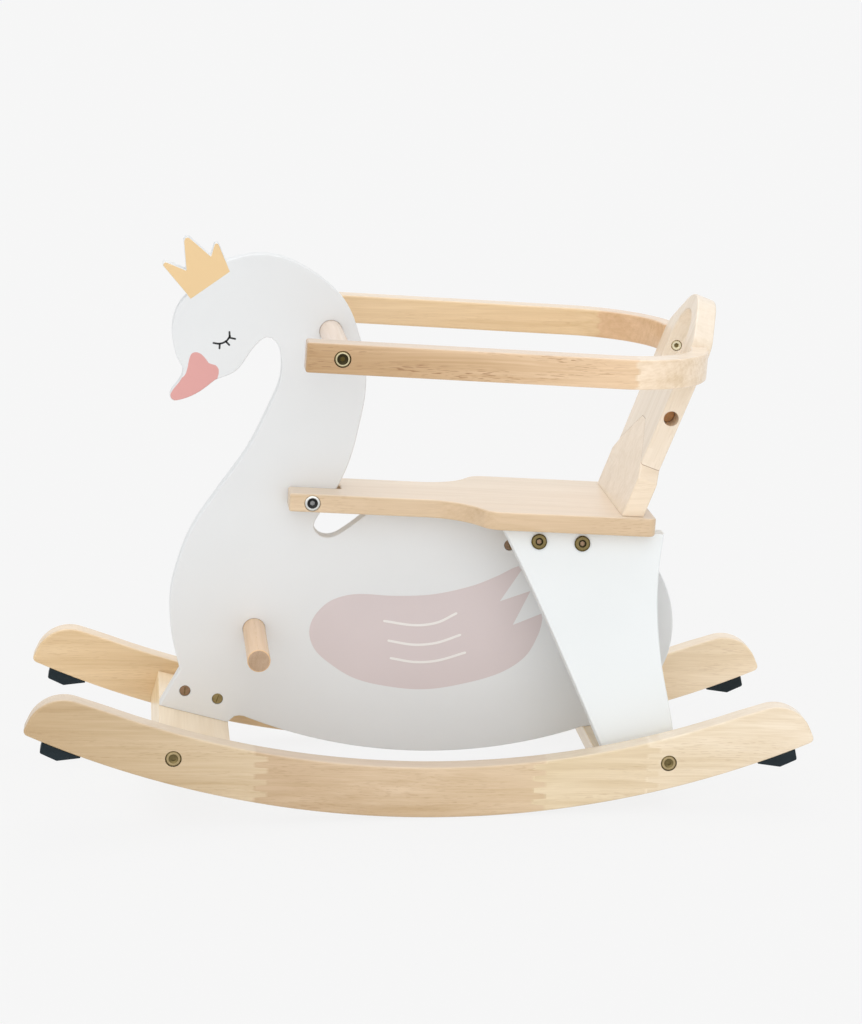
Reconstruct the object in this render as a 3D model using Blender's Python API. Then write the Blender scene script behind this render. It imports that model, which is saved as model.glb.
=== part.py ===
"""A wooden rocking swan for a toddler: two rockers and two cross blocks carry an upright swan panel and two
splayed legs, which carry a seat with a backrest and a guard rail on each side. Everything is bolted together.

X runs along the rockers and the swan looks to -X. Its left side faces -Y, and Z is up. Sizes are in metres.
The toy is laid out with its rockers level, and then leans back by REST_TILT, as it does when nobody sits on it.
"""

import math

import bmesh
import bpy
from mathutils import Matrix, Vector

# Fits
SEAT_GAP = 0.0003  # between two boards that touch
PLAY = 0.0003  # round a shank, a head, a nut or a dowel
CUT_PAST = 0.012  # how far a cutter runs past a face
TRIM_DEPTH = 0.080  # how far the large cutters reach into what they trim off

# Rockers
ROCKER_LENGTH = 0.750
ROCKER_RADIUS = 0.937  # of the rocking arc
ROCKER_DEPTH = 0.050  # of the board between its two arcs
ROCKER_THICKNESS = 0.022
ROCKER_SPREAD = 0.272  # over the outer faces
FACET_ANGLE = math.radians(1.2)  # of one flat of the rocking arc
REST_TILT = math.radians(2.4)
NOSE_SETBACK = 0.019
NOSE_DROP = 0.0045
NOSE_ROUND = 0.036
TOE_ROUND = 0.005
TOP_ARC_SETBACK = 0.075  # of the upper arc's end from the rocker's end
TOP_ARC_END = ROCKER_LENGTH / 2 - TOP_ARC_SETBACK
BOARD_ROUND = 0.003  # rounding of a wooden board's edges
PAINTED_ROUND = 0.0015  # rounding of a painted board's edges

# Rubber stops under the rockers' ends
STOP_SETBACK = 0.014  # of its outer end from the rocker's end
STOP_LENGTH = 0.038
STOP_LOW_LENGTH = 0.016  # from its lowest edge to its outer end
STOP_OUTER = ROCKER_LENGTH / 2 - STOP_SETBACK
STOP_INNER = STOP_OUTER - STOP_LENGTH
STOP_LOW = STOP_OUTER - STOP_LOW_LENGTH
STOP_DEPTH_INNER = 0.0012
STOP_DEPTH_LOW = 0.0125
STOP_DEPTH_OUTER = 0.0115
STOP_THICKNESS = 0.020
STOP_CHAMFER = 0.0025  # of its outer end, up to the rocker
STOP_ROUND = 0.002
STOP_SCREW_LENGTH = 0.024

# Cross blocks
BLOCK_WIDTH = 0.070
BLOCK_HEIGHT = 0.030
BLOCK_RISE = 0.0212  # of the block's middle above the rocking arc
BLOCK_FRONT_ANGLE = math.radians(13.8)
BLOCK_REAR_ANGLE = math.radians(13.3)
ROCKER_BOLT_OFFSETS = {"front": 0.0195, "rear": 0.0270}  # from the block's middle towards the rocker's end
ROCKER_BOLT_RISE = 0.0045
ROCKER_BOLT_LENGTH = 0.052
ROCKER_NUT_INSET = 0.020  # of a barrel nut's middle from the block's end

# Swan panel
PANEL_THICKNESS = 0.018
PANEL_BOLT_LENGTH = 0.048
PANEL_BOLT_INNER = 0.0184  # from the block's middle towards the toy's middle
PANEL_BOLT_OUTER = 0.0145
PANEL_NUT_RISE = 0.0207  # above the block's top

# Seat
SEAT_THICKNESS = 0.018
SEAT_TOP = 0.2895  # height of its top at x = 0
SEAT_TILT = math.radians(1.6)  # down to the rear
SEAT_FRONT = -0.129
SEAT_REAR = 0.221
SEAT_HALF_WIDTH = 0.083
FORK_HALF_WIDTH = 0.0414
FLARE_START = 0.012
FLARE_END = 0.060
SLOT_END = -0.078
FORK_BOLT_X = -0.107
SEAT_CORNER_ROUND = 0.008

# Legs
LEG_THICKNESS = 0.018
LEG_SPLAY = math.radians(10.7)
LEG_TOP_INSET = 0.071  # of the outer face at LEG_TOP_HEIGHT from the rocker's outer face
LEG_TOP_Y = ROCKER_SPREAD / 2 - LEG_TOP_INSET
LEG_TOP_DROP = 0.0035  # of that height below the seat at x = 0
LEG_TOP_HEIGHT = SEAT_TOP - SEAT_THICKNESS - LEG_TOP_DROP
LEG_BOLT_XS = (0.110, 0.152)
LEG_BOLT_DROP = 0.0125  # below the seat
LEG_BOLT_LENGTH = 0.040
LEG_FOOT_BOLT_LENGTH = 0.050

# Seat bearers, between the panel and the legs
BEARER_FRONT = 0.094
BEARER_REAR = 0.172
BEARER_HEIGHT = 0.028
BEARER_SCREW_LENGTH = 0.036

# Seat stud, which draws the seat down on the panel
STUD_X = 0.090
STUD_NUT_DROP = 0.031  # below the seat
STUD_LENGTH = 0.047

# Backrest
BACK_THICKNESS = 0.020
BACK_LEAN = math.radians(19.7)
BACK_FOOT_X = 0.188  # of the front face where it meets the seat
BACK_LOW_HALF = 0.075
BACK_HIGH_HALF = 0.0615
BACK_TOP_HALF = 0.066
BACK_SHOULDER = 0.040  # heights along the board from here on
BACK_SEAM = 0.052
BACK_SEAM_PEAK = 0.088
BACK_TOP_SIDE = 0.180
BACK_TOP = 0.229
BACK_SIDE_ROUND = 0.022
BACK_TOP_ROUND = 0.044
BACK_PEAK_FLAT = 0.008
HAND_HOLE_LOW = 0.156
HAND_HOLE_HIGH = 0.170
HAND_HOLE_RADIUS = 0.032
BACK_BOLT_INSET = 0.031  # from the legs' outer faces, which the bolts pass inside of
BACK_BOLT_Y = LEG_TOP_Y - BACK_BOLT_INSET
BACK_NUT_HEIGHT = 0.103
BACK_NUT_LENGTH = 0.016
BACK_BOLT_LENGTH = 0.128
BACK_NUT_RADIUS = 0.0070

# Guard rails
RAIL_HEIGHT = 0.028
RAIL_THICKNESS = 0.024
RAIL_HALF_SPREAD = 0.1653  # over the outer faces
RAIL_TOP = 0.4564  # height of the top at x = 0
RAIL_FRONT = -0.125
RAIL_TILT = math.radians(1.75)  # down to the rear
RAIL_BEND_X = 0.162  # where the bend to the backrest starts
RAIL_END_THICKNESS = 0.0165
RAIL_END_SETBACK = 0.0025  # of its inner face behind the middle of the backrest's front face
RAIL_END_BOLT_HEIGHT = 0.162  # along the backrest
RAIL_BOLT_LENGTH = 0.052
RAIL_END_BOLT_LENGTH = 0.052

# Hand bar and foot bar
BAR_RADIUS = 0.011
HAND_BAR_X = -0.0925
FOOT_BAR_X = -0.158
FOOT_BAR_HEIGHT = 0.149
FOOT_BAR_LENGTH = 0.244
BAR_END_ROUND = 0.0015

# Bolts, screws and nuts
SHANK_RADIUS = 0.003
FLANGE_RADIUS = 0.0076
FLANGE_HEIGHT = 0.0022
FLANGE_BEVEL = 0.0009
SMALL_HEAD_RADIUS = 0.0052
SMALL_HEAD_HEIGHT = 0.0040
SOCKET_RADIUS = 0.0020
SOCKET_DEPTH = 0.0016
SCREW_RADIUS = 0.0019
SCREW_HEAD_RADIUS = 0.0040
SCREW_HEAD_HEIGHT = 0.0022
NUT_RADIUS = 0.0052
NUT_LENGTH = 0.015
CAP_SLEEVE_RADIUS = 0.0045
CAP_SLEEVE_LENGTH = 0.018
CAP_BOLT_GAP = 0.002  # between the bolt's end and the cap nut's outer face
HEAD_BEVEL = 0.0008
SHANK_SIDES = 10
HEAD_SIDES = 12
BAR_SIDES = 20

# The swan panel's outline above the cross blocks, front foot first and then over the head to the tail.
FOOT_FRONT = ((-0.2487, 0.055), (-0.2487, 0.0715), (-0.2295, 0.107))
CHEST = (
    (-0.2295, 0.107),
    (-0.2385, 0.145),
    (-0.2408, 0.178),
    (-0.2360, 0.208),
    (-0.2220, 0.248),
    (-0.1970, 0.288),
    (-0.1700, 0.328),
    (-0.1510, 0.368),
    (-0.1400, 0.397),
    (-0.1395, 0.420),
    (-0.1450, 0.434),
    (-0.1540, 0.438),
    (-0.1650, 0.429),
    (-0.1820, 0.405),
    (-0.2020, 0.3955),
)
BEAK = (
    (-0.2020, 0.3955),
    (-0.2170, 0.3835),
    (-0.2300, 0.3770),
    (-0.2420, 0.3745),
    (-0.2452, 0.3785),
    (-0.2430, 0.3845),
    (-0.2345, 0.3965),
    (-0.2330, 0.4065),
)
FACE = (
    (-0.2330, 0.4065),
    (-0.2395, 0.4180),
    (-0.2440, 0.4380),
    (-0.2412, 0.4590),
    (-0.2350, 0.4715),
)
CROWN_FRONT = ((-0.2350, 0.4715), (-0.2440, 0.4880), (-0.2540, 0.5040))
CROWN_FRONT_TIP = ((-0.2540, 0.5040), (-0.2543, 0.5068), (-0.2515, 0.5080))
CROWN_MIDDLE = ((-0.2320, 0.5005), (-0.2352, 0.5300), (-0.2323, 0.5332), (-0.2290, 0.5317))
CROWN_REAR = ((-0.2090, 0.5145), (-0.2060, 0.5258), (-0.2037, 0.5277), (-0.2015, 0.5256), (-0.1905, 0.5005))
NAPE = (
    (-0.1905, 0.5005),
    (-0.1895, 0.5135),
    (-0.1750, 0.5175),
    (-0.1600, 0.5180),
    (-0.1450, 0.5165),
    (-0.1300, 0.5105),
    (-0.1150, 0.5030),
    (-0.0850, 0.4830),
    (-0.0680, 0.4520),
    (-0.0590, 0.4210),
    (-0.0570, 0.3900),
    (-0.0610, 0.3600),
    (-0.0700, 0.3200),
    (-0.0830, 0.2890),
    (-0.0975, 0.2660),
    (-0.1030, 0.2540),
    (-0.0975, 0.2450),
    (-0.0880, 0.2428),
    (-0.0780, 0.2465),
    (-0.0540, 0.2652),
    (-0.0400, 0.2800),
)
TAIL = (
    (0.1998, 0.2765),
    (0.2080, 0.2620),
    (0.2230, 0.2380),
    (0.2410, 0.2130),
    (0.2530, 0.1860),
    (0.2575, 0.1580),
    (0.2550, 0.1320),
    (0.2480, 0.1120),
)
FOOT_REAR = ((0.2480, 0.1120), (0.2400, 0.0690), (0.2400, 0.0550))
BELLY_RADIUS = 0.520
BELLY_X = 0.005
BELLY_HEIGHT = 0.026
BELLY_FRONT = -0.169
BELLY_REAR = 0.172
HEEL = ((-0.1740, 0.0605), (-0.1810, 0.0545), (-0.1900, 0.0480))
CURVE_STEP = 0.012

# A leg's edges on its outer face, from the top down, as x and height.
LEG_FRONT_EDGE = ((0.0765, 0.275), (0.1860, 0.040))
LEG_REAR_EDGE = (
    (0.2490, 0.040),
    (0.2455, 0.078),
    (0.2400, 0.107),
    (0.2330, 0.140),
    (0.2285, 0.175),
    (0.2270, 0.205),
    (0.2285, 0.238),
    (0.2335, 0.275),
)

SIDES = (("left", -1), ("right", 1))
ENDS = (("front", -1, BLOCK_FRONT_ANGLE), ("rear", 1, BLOCK_REAR_ANGLE))
X_AXIS = Vector((1, 0, 0))
Y_AXIS = Vector((0, 1, 0))
Z_AXIS = Vector((0, 0, 1))


def clear_scene():
    for obj in list(bpy.data.objects):
        bpy.data.objects.remove(obj, do_unlink=True)


def make_material(name, color, roughness, metallic=0.0):
    material = bpy.data.materials.new(name)
    material.use_nodes = True
    shader = material.node_tree.nodes["Principled BSDF"]
    shader.inputs["Base Color"].default_value = (*color, 1.0)
    shader.inputs["Roughness"].default_value = roughness
    shader.inputs["Metallic"].default_value = metallic
    return material


def add_object(name, mesh, material=None):
    obj = bpy.data.objects.new(name, mesh)
    bpy.context.scene.collection.objects.link(obj)
    obj.parent = bpy.data.objects["toy_at_rest"]
    if material:
        mesh.materials.append(material)
    return obj


def place(obj, origin, x_axis, y_axis):
    """Puts the object at the origin with its own X and Y along two directions that are square to each other."""
    x_axis, y_axis = x_axis.normalized(), y_axis.normalized()
    turn = Matrix((x_axis, y_axis, x_axis.cross(y_axis))).transposed()
    obj.rotation_euler = turn.to_euler()
    obj.location = origin


def aim(obj, origin, direction):
    """Puts the object at the origin with its own Z along a direction."""
    obj.rotation_euler = Vector(direction).to_track_quat("Z", "Y").to_euler()
    obj.location = origin


def smooth_curve(points, step=CURVE_STEP):
    """Points on a curve that runs smoothly through the given ones, which include its two ends."""
    points = [Vector(p) for p in points]
    ends = [2 * points[0] - points[1], *points, 2 * points[-1] - points[-2]]
    curve = []
    for before, start, end, after in zip(ends, ends[1:], ends[2:], ends[3:]):
        length = (end - start).length
        lead_in = (end - before) / max((start - before).length + length, 1e-9) * length
        lead_out = (after - start) / max((after - end).length + length, 1e-9) * length
        count = max(1, round(length / step))
        for i in range(count):
            t = i / count
            curve.append(
                (2 * t**3 - 3 * t**2 + 1) * start
                + (t**3 - 2 * t**2 + t) * lead_in
                + (3 * t**2 - 2 * t**3) * end
                + (t**3 - t**2) * lead_out
            )
    return [*curve, points[-1]]


def corner_arc(before, corner, after, radius, steps=5):
    """Points of the arc that rounds a corner."""
    before, corner, after = Vector(before), Vector(corner), Vector(after)
    toward_before = (before - corner).normalized()
    toward_after = (after - corner).normalized()
    half = toward_before.angle(toward_after) / 2
    reach = min(radius / math.tan(half), (before - corner).length, (after - corner).length)
    radius = reach * math.tan(half)
    middle = corner + (toward_before + toward_after).normalized() * math.hypot(reach, radius)
    start = corner + toward_before * reach - middle
    end = corner + toward_after * reach - middle
    sweep = start.angle_signed(end)
    return [middle + Matrix.Rotation(-sweep * i / steps, 2) @ start for i in range(steps + 1)]


def rounded(corners, steps=5):
    """An outline from corners, each written as (x, y, radius)."""
    outline = []
    for i, (x, y, radius) in enumerate(corners):
        if radius == 0:
            outline.append(Vector((x, y)))
            continue
        before = corners[i - 1][:2]
        after = corners[(i + 1) % len(corners)][:2]
        outline += corner_arc(before, (x, y), after, radius, steps)
    return outline


def board_mesh(name, outline, thickness, holes=()):
    """A flat board whose outline lies in its own XY plane, with its thickness shared out on both sides."""
    bm = bmesh.new()
    loops = []
    for loop in (outline, *holes):
        verts = [bm.verts.new((x, y, -thickness / 2)) for x, y in loop]
        loops += [bm.edges.new(pair) for pair in zip(verts, verts[1:] + verts[:1])]
    if holes:
        bmesh.ops.triangle_fill(bm, use_beauty=True, use_dissolve=False, edges=loops)
    else:
        bm.faces.new(bm.verts)
    raised = bmesh.ops.extrude_face_region(bm, geom=bm.faces[:])["geom"]
    bmesh.ops.translate(bm, verts=[v for v in raised if isinstance(v, bmesh.types.BMVert)], vec=(0, 0, thickness))
    bmesh.ops.recalc_face_normals(bm, faces=bm.faces)
    mesh = bpy.data.meshes.new(name)
    bm.to_mesh(mesh)
    bm.free()
    return mesh


def round_edges(obj, width, segments=1):
    bevel = obj.modifiers.new("rounded edges", "BEVEL")
    bevel.width = width
    bevel.segments = segments
    bevel.limit_method = "ANGLE"
    bevel.angle_limit = math.radians(40)
    bevel.harden_normals = False


def turned_mesh(name, profile, sides):
    """A solid of revolution about its own Z. The profile runs from the axis back to the axis as (radius, height)."""
    bm = bmesh.new()
    verts = [bm.verts.new((radius, 0, height)) for radius, height in profile]
    edges = [bm.edges.new(pair) for pair in zip(verts, verts[1:])]
    bmesh.ops.spin(bm, geom=verts + edges, cent=(0, 0, 0), axis=Z_AXIS, angle=math.tau, steps=sides, use_merge=True)
    bmesh.ops.remove_doubles(bm, verts=bm.verts, dist=1e-6)
    bmesh.ops.recalc_face_normals(bm, faces=bm.faces)
    mesh = bpy.data.meshes.new(name)
    bm.to_mesh(mesh)
    bm.free()
    mesh.shade_smooth()
    mesh.set_sharp_from_angle(angle=math.radians(35))
    return mesh


def cut(host, cutter):
    modifier = host.modifiers.new("cut by " + cutter.name, "BOOLEAN")
    modifier.operation = "DIFFERENCE"
    modifier.solver = "EXACT"
    modifier.object = cutter


def hide_cutter(obj):
    obj.hide_render = True
    obj.display_type = "WIRE"
    return obj


def turned_cutter(name, profile, at, direction, hosts, sides=HEAD_SIDES):
    """Cuts a round hole whose flats lie on the profile, so that they clear what sits in it."""
    around = [(radius / math.cos(math.pi / sides), height) for radius, height in profile]
    cutter = hide_cutter(add_object("cutter_" + name, turned_mesh("cutter_" + name, around, sides)))
    aim(cutter, at, direction)
    for host in hosts:
        cut(host, cutter)


def fastener(name, at, out, length, hosts, shank, head, head_height, bevel, material, recess=None):
    """A bolt or screw. The underside of its head is at the given place, its head points out, and its hosts get
    its hole. The recess is how far the head's counterbore is cut outwards, or None for a head on the surface."""
    profile = (
        (0, -length),
        (shank, -length),
        (shank, 0),
        (head, 0),
        (head, head_height - bevel),
        (head - bevel, head_height),
        (SOCKET_RADIUS, head_height),
        (SOCKET_RADIUS, head_height - SOCKET_DEPTH),
        (0, head_height - SOCKET_DEPTH),
    )
    bolt = add_object(name, turned_mesh(name, profile, SHANK_SIDES), material)
    aim(bolt, at, out)
    wide = shank + PLAY
    if recess is None:
        hole = ((0, -length - PLAY), (wide, -length - PLAY), (wide, CUT_PAST), (0, CUT_PAST))
    else:
        hole = (
            (0, -length - PLAY),
            (wide, -length - PLAY),
            (wide, -SEAT_GAP),
            (head + PLAY, -SEAT_GAP),
            (head + PLAY, recess),
            (0, recess),
        )
    turned_cutter(name, hole, at, out, hosts)
    return bolt


def flange_bolt(name, at, out, length, hosts, material, recess=CUT_PAST):
    return fastener(
        name, at, out, length, hosts, SHANK_RADIUS, FLANGE_RADIUS, FLANGE_HEIGHT, FLANGE_BEVEL, material, recess
    )


def small_bolt(name, at, out, length, hosts, material, recess=CUT_PAST):
    return fastener(
        name, at, out, length, hosts, SHANK_RADIUS, SMALL_HEAD_RADIUS, SMALL_HEAD_HEIGHT, HEAD_BEVEL, material, recess
    )


def wood_screw(name, at, out, length, hosts, material):
    return fastener(
        name,
        at,
        out,
        length,
        hosts,
        SCREW_RADIUS,
        SCREW_HEAD_RADIUS,
        SCREW_HEAD_HEIGHT,
        HEAD_BEVEL,
        material,
        CUT_PAST,
    )


def barrel_nut(name, middle, out, length, radius, hosts, material, mouth):
    """A cross dowel nut. Its hole in the hosts runs out to the mouth, measured from the nut's middle."""
    profile = ((0, -length / 2), (radius, -length / 2), (radius, length / 2), (0, length / 2))
    nut = add_object(name, turned_mesh(name, profile, HEAD_SIDES), material)
    aim(nut, middle, out)
    wide, back = radius + PLAY, -length / 2 - PLAY
    turned_cutter(name, ((0, back), (wide, back), (wide, mouth), (0, mouth)), middle, out, hosts)
    return nut


def arc_point(angle, radius):
    """A point of the XZ plane at an angle behind the lowest point of the rocking arc, seen from its centre."""
    return Vector((radius * math.sin(angle), ROCKER_RADIUS - radius * math.cos(angle)))


def arc_height(x, radius=ROCKER_RADIUS):
    return ROCKER_RADIUS - math.sqrt(radius**2 - x**2)


def seat_height(x, below_top=0.0):
    return SEAT_TOP - below_top - x * math.tan(SEAT_TILT)


def rail_height(x):
    """Height, at x, of the middle of a guard rail."""
    return RAIL_TOP - RAIL_HEIGHT / 2 - x * math.tan(RAIL_TILT)


def rocker_outline():
    """The rocker's side view: flats along the rocking arc, a rounded toe and nose, and the upper arc."""
    toe_x = ROCKER_LENGTH / 2 + TOE_ROUND / 2
    toe_angle = math.asin(toe_x / ROCKER_RADIUS)
    last = math.floor((toe_angle - REST_TILT) / FACET_ANGLE - 0.5)
    first = math.ceil((-toe_angle - REST_TILT) / FACET_ANGLE - 0.5)
    flats = [REST_TILT + (i + 0.5) * FACET_ANGLE for i in range(first, last + 1)]
    flats = [angle for angle in flats if abs(angle) < toe_angle - FACET_ANGLE / 2]
    lower = [arc_point(angle, ROCKER_RADIUS) for angle in flats]
    top_radius = ROCKER_RADIUS - ROCKER_DEPTH
    top_angle = math.asin(TOP_ARC_END / top_radius)
    count = round(top_angle / FACET_ANGLE)
    upper = [arc_point(top_angle * (1 - 2 * i / count), top_radius) for i in range(count + 1)]
    nose_x = toe_x - NOSE_SETBACK
    nose = Vector((nose_x, arc_height(nose_x, top_radius) - NOSE_DROP))
    toe = arc_point(toe_angle, ROCKER_RADIUS)
    front_toe, front_nose = Vector((-toe.x, toe.y)), Vector((-nose.x, nose.y))
    return [
        *lower,
        *corner_arc(lower[-1], toe, nose, TOE_ROUND, 3),
        *corner_arc(toe, nose, upper[0], NOSE_ROUND, 7),
        *upper,
        *corner_arc(upper[-1], front_nose, front_toe, NOSE_ROUND, 7),
        *corner_arc(front_nose, front_toe, lower[0], TOE_ROUND, 3),
    ]


def lean_back():
    """The empty that every piece hangs from. It leans the toy back, and sets it on the floor under its middle."""
    turn = Matrix.Rotation(REST_TILT, 3, "Y")
    turned = [turn @ Vector((x, 0, z)) for x, z in rocker_outline()]
    empty = bpy.data.objects.new("toy_at_rest", None)
    bpy.context.scene.collection.objects.link(empty)
    empty.rotation_euler = (0, REST_TILT, 0)
    xs = [p.x for p in turned]
    empty.location = (-(min(xs) + max(xs)) / 2, 0, -min(p.z for p in turned))


def make_rockers(wood):
    rockers = {}
    for side, sign in SIDES:
        rocker = add_object("rocker_" + side, board_mesh("rocker_" + side, rocker_outline(), ROCKER_THICKNESS), wood)
        place(rocker, Vector((0, sign * (ROCKER_SPREAD - ROCKER_THICKNESS) / 2, 0)), X_AXIS, Z_AXIS)
        round_edges(rocker, BOARD_ROUND, 2)
        rockers[side] = rocker
    return rockers


def stop_outline(sign):
    """A rubber wedge that hangs under the rocking arc near a rocker's end."""
    top_outer = STOP_OUTER - STOP_CHAMFER
    gap = SEAT_GAP * 1.5  # room for the rocking arc's flats
    corners = [
        (STOP_INNER, arc_height(STOP_INNER) - gap, 0),
        (top_outer, arc_height(top_outer) - gap, 0),
        (STOP_OUTER, arc_height(STOP_OUTER) - STOP_DEPTH_OUTER, STOP_ROUND),
        (STOP_LOW, arc_height(STOP_LOW) - STOP_DEPTH_LOW, STOP_ROUND),
        (STOP_INNER, arc_height(STOP_INNER) - STOP_DEPTH_INNER - gap, 0),
    ]
    return [Vector((sign * x, y)) for x, y in rounded(corners, 3)]


def make_stops(rockers, rubber, steel):
    for end, along, _ in ENDS:
        for side, sign in SIDES:
            name = f"{end}_{side}"
            stop = add_object("stop_" + name, board_mesh("stop_" + name, stop_outline(along), STOP_THICKNESS), rubber)
            middle_y = sign * (ROCKER_SPREAD - ROCKER_THICKNESS) / 2
            place(stop, Vector((0, middle_y, 0)), X_AXIS, Z_AXIS)
            angle = along * math.asin(STOP_LOW / ROCKER_RADIUS)
            inward = Vector((-math.sin(angle), 0, math.cos(angle)))
            foot = arc_point(angle, ROCKER_RADIUS + STOP_DEPTH_LOW - 2 * SCREW_HEAD_HEIGHT)
            at = Vector((foot.x, middle_y, foot.y))
            wood_screw("stop_screw_" + name, at, -inward, STOP_SCREW_LENGTH, [stop, rockers[side]], steel)


class Block:
    """The place of a cross block: its middle, its direction along the rocker and the way its top faces."""

    def __init__(self, along, angle):
        middle = arc_point(along * angle, ROCKER_RADIUS - BLOCK_RISE)
        self.middle = Vector((middle.x, 0, middle.y))
        self.outward = Vector((along * math.cos(angle), 0, math.sin(angle)))
        self.up = Vector((-along * math.sin(angle), 0, math.cos(angle)))
        self.along = along

    def at(self, outward, up, y=0.0):
        return self.middle + self.outward * outward + self.up * up + Y_AXIS * y


def make_blocks(rockers, wood, steel):
    blocks = {}
    length = ROCKER_SPREAD - 2 * ROCKER_THICKNESS - 2 * SEAT_GAP
    outline = [
        Vector((x * BLOCK_WIDTH / 2, y * BLOCK_HEIGHT / 2))
        for x, y in ((-1, -1), (1, -1), (1, 1), (-1, 1))
    ]
    for end, along, angle in ENDS:
        spot = Block(along, angle)
        block = add_object(end + "_cross_block", board_mesh(end + "_cross_block", outline, length), wood)
        place(block, spot.middle, X_AXIS * spot.up.z - Z_AXIS * spot.up.x, spot.up)
        round_edges(block, BOARD_ROUND / 2)
        blocks[end] = block, spot
        for side, sign in SIDES:
            name = f"{end}_{side}"
            face = sign * (ROCKER_SPREAD / 2 - FLANGE_HEIGHT - PLAY)
            at = spot.at(ROCKER_BOLT_OFFSETS[end], ROCKER_BOLT_RISE, face)
            nut_y = sign * (length / 2 - ROCKER_NUT_INSET)
            nut_at = spot.at(ROCKER_BOLT_OFFSETS[end], ROCKER_BOLT_RISE, nut_y)
            nut = barrel_nut(
                "rocker_nut_" + name, nut_at, -spot.up, NUT_LENGTH, NUT_RADIUS, [block], steel, BLOCK_HEIGHT
            )
            flange_bolt(
                "rocker_bolt_" + name, at, Y_AXIS * sign, ROCKER_BOLT_LENGTH, [rockers[side], block, nut], steel
            )
    return blocks


def panel_outline():
    """The swan seen from its left side, with the sharp places of the crown, the beak and the feet."""
    belly_start = math.asin((BELLY_REAR - BELLY_X) / BELLY_RADIUS)
    belly_end = math.asin((BELLY_FRONT - BELLY_X) / BELLY_RADIUS)
    count = round((belly_start - belly_end) * BELLY_RADIUS / CURVE_STEP / 1.5)
    belly = []
    for i in range(count + 1):
        angle = belly_start + (belly_end - belly_start) * i / count
        belly.append((BELLY_X + BELLY_RADIUS * math.sin(angle), BELLY_HEIGHT + BELLY_RADIUS * (1 - math.cos(angle))))
    stretches = [
        FOOT_FRONT,
        smooth_curve(CHEST),
        smooth_curve(BEAK),
        smooth_curve(FACE),
        CROWN_FRONT,
        CROWN_FRONT_TIP,
        CROWN_MIDDLE,
        CROWN_REAR,
        smooth_curve(NAPE),
        smooth_curve(TAIL),
        FOOT_REAR,
        belly,
        HEEL,
    ]
    outline = []
    for stretch in stretches:
        for x, z in stretch:
            if not outline or (Vector((x, z)) - outline[-1]).length > 1e-5:
                outline.append(Vector((x, z)))
    return outline[::-1]


def box_mesh(name, x_range, y_range, z_range):
    bm = bmesh.new()
    bmesh.ops.create_cube(bm, size=1)
    low = Vector((x_range[0], y_range[0], z_range[0]))
    high = Vector((x_range[1], y_range[1], z_range[1]))
    for vert in bm.verts:
        vert.co = (low + high) / 2 + Vector(a * b for a, b in zip(vert.co, high - low))
    mesh = bpy.data.meshes.new(name)
    bm.to_mesh(mesh)
    bm.free()
    return mesh


def make_trimmers(blocks):
    """Cutters that trim the feet to the cross blocks' tops, and the panel, the legs and the bearers to the seat."""
    trimmers = {}
    wide = ROCKER_SPREAD / 2
    for end, (_, spot) in blocks.items():
        mesh = box_mesh("cutter_under_" + end, (-BLOCK_WIDTH, BLOCK_WIDTH), (-TRIM_DEPTH, 0), (-wide, wide))
        trimmer = hide_cutter(add_object("cutter_under_" + end, mesh))
        top = spot.at(0, BLOCK_HEIGHT / 2 + SEAT_GAP)
        place(trimmer, top, X_AXIS * spot.up.z - Z_AXIS * spot.up.x, spot.up)
        trimmers[end] = trimmer
    turn = Matrix.Rotation(SEAT_TILT, 3, "Y")
    trim_x = SLOT_END - SEAT_GAP, SEAT_REAR + TRIM_DEPTH
    for name, depth in (("seat", -SEAT_THICKNESS - SEAT_GAP), ("floor_of_backrest", -TRIM_DEPTH)):
        mesh = box_mesh("cutter_" + name, trim_x, (-wide, wide), (depth, SEAT_GAP))
        trimmer = hide_cutter(add_object("cutter_" + name, mesh))
        place(trimmer, Vector((0, 0, SEAT_TOP)), turn @ X_AXIS, Y_AXIS)
        trimmers[name] = trimmer
    return trimmers


def make_panel(blocks, trimmers, paint, steel):
    panel = add_object("swan_panel", board_mesh("swan_panel", panel_outline(), PANEL_THICKNESS), paint)
    place(panel, Vector((0, 0, 0)), X_AXIS, Z_AXIS)
    round_edges(panel, PAINTED_ROUND)
    for trimmer in ("front", "rear", "seat"):
        cut(panel, trimmers[trimmer])
    nut_y = -(PANEL_THICKNESS - NUT_LENGTH) / 2 + PLAY
    for end, (block, spot) in blocks.items():
        for row, offset in (("inner", -PANEL_BOLT_INNER), ("outer", PANEL_BOLT_OUTER)):
            name = f"{end}_{row}"
            rise = BLOCK_HEIGHT / 2 + PANEL_NUT_RISE
            nut = barrel_nut(
                "panel_nut_" + name,
                spot.at(offset, rise, nut_y),
                -Y_AXIS,
                NUT_LENGTH,
                NUT_RADIUS,
                [panel],
                steel,
                PANEL_THICKNESS,
            )
            at = spot.at(offset, -BLOCK_HEIGHT / 2 + FLANGE_HEIGHT + PLAY)
            flange_bolt("panel_bolt_" + name, at, -spot.up, PANEL_BOLT_LENGTH, [block, panel, nut], steel)
    return panel


def seat_outline():
    slot = PANEL_THICKNESS / 2 + SEAT_GAP
    flare = (FLARE_END - FLARE_START) / 2
    middle = FLARE_START + flare
    half = [
        (SLOT_END, slot, 0),
        (SEAT_FRONT, slot, 0),
        (SEAT_FRONT, FORK_HALF_WIDTH, 0),
        (middle, FORK_HALF_WIDTH, flare),
        (FLARE_END, SEAT_HALF_WIDTH, SEAT_CORNER_ROUND),
        (SEAT_REAR, SEAT_HALF_WIDTH, SEAT_CORNER_ROUND),
    ]
    return rounded([*half, *((x, -y, radius) for x, y, radius in reversed(half))])


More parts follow.
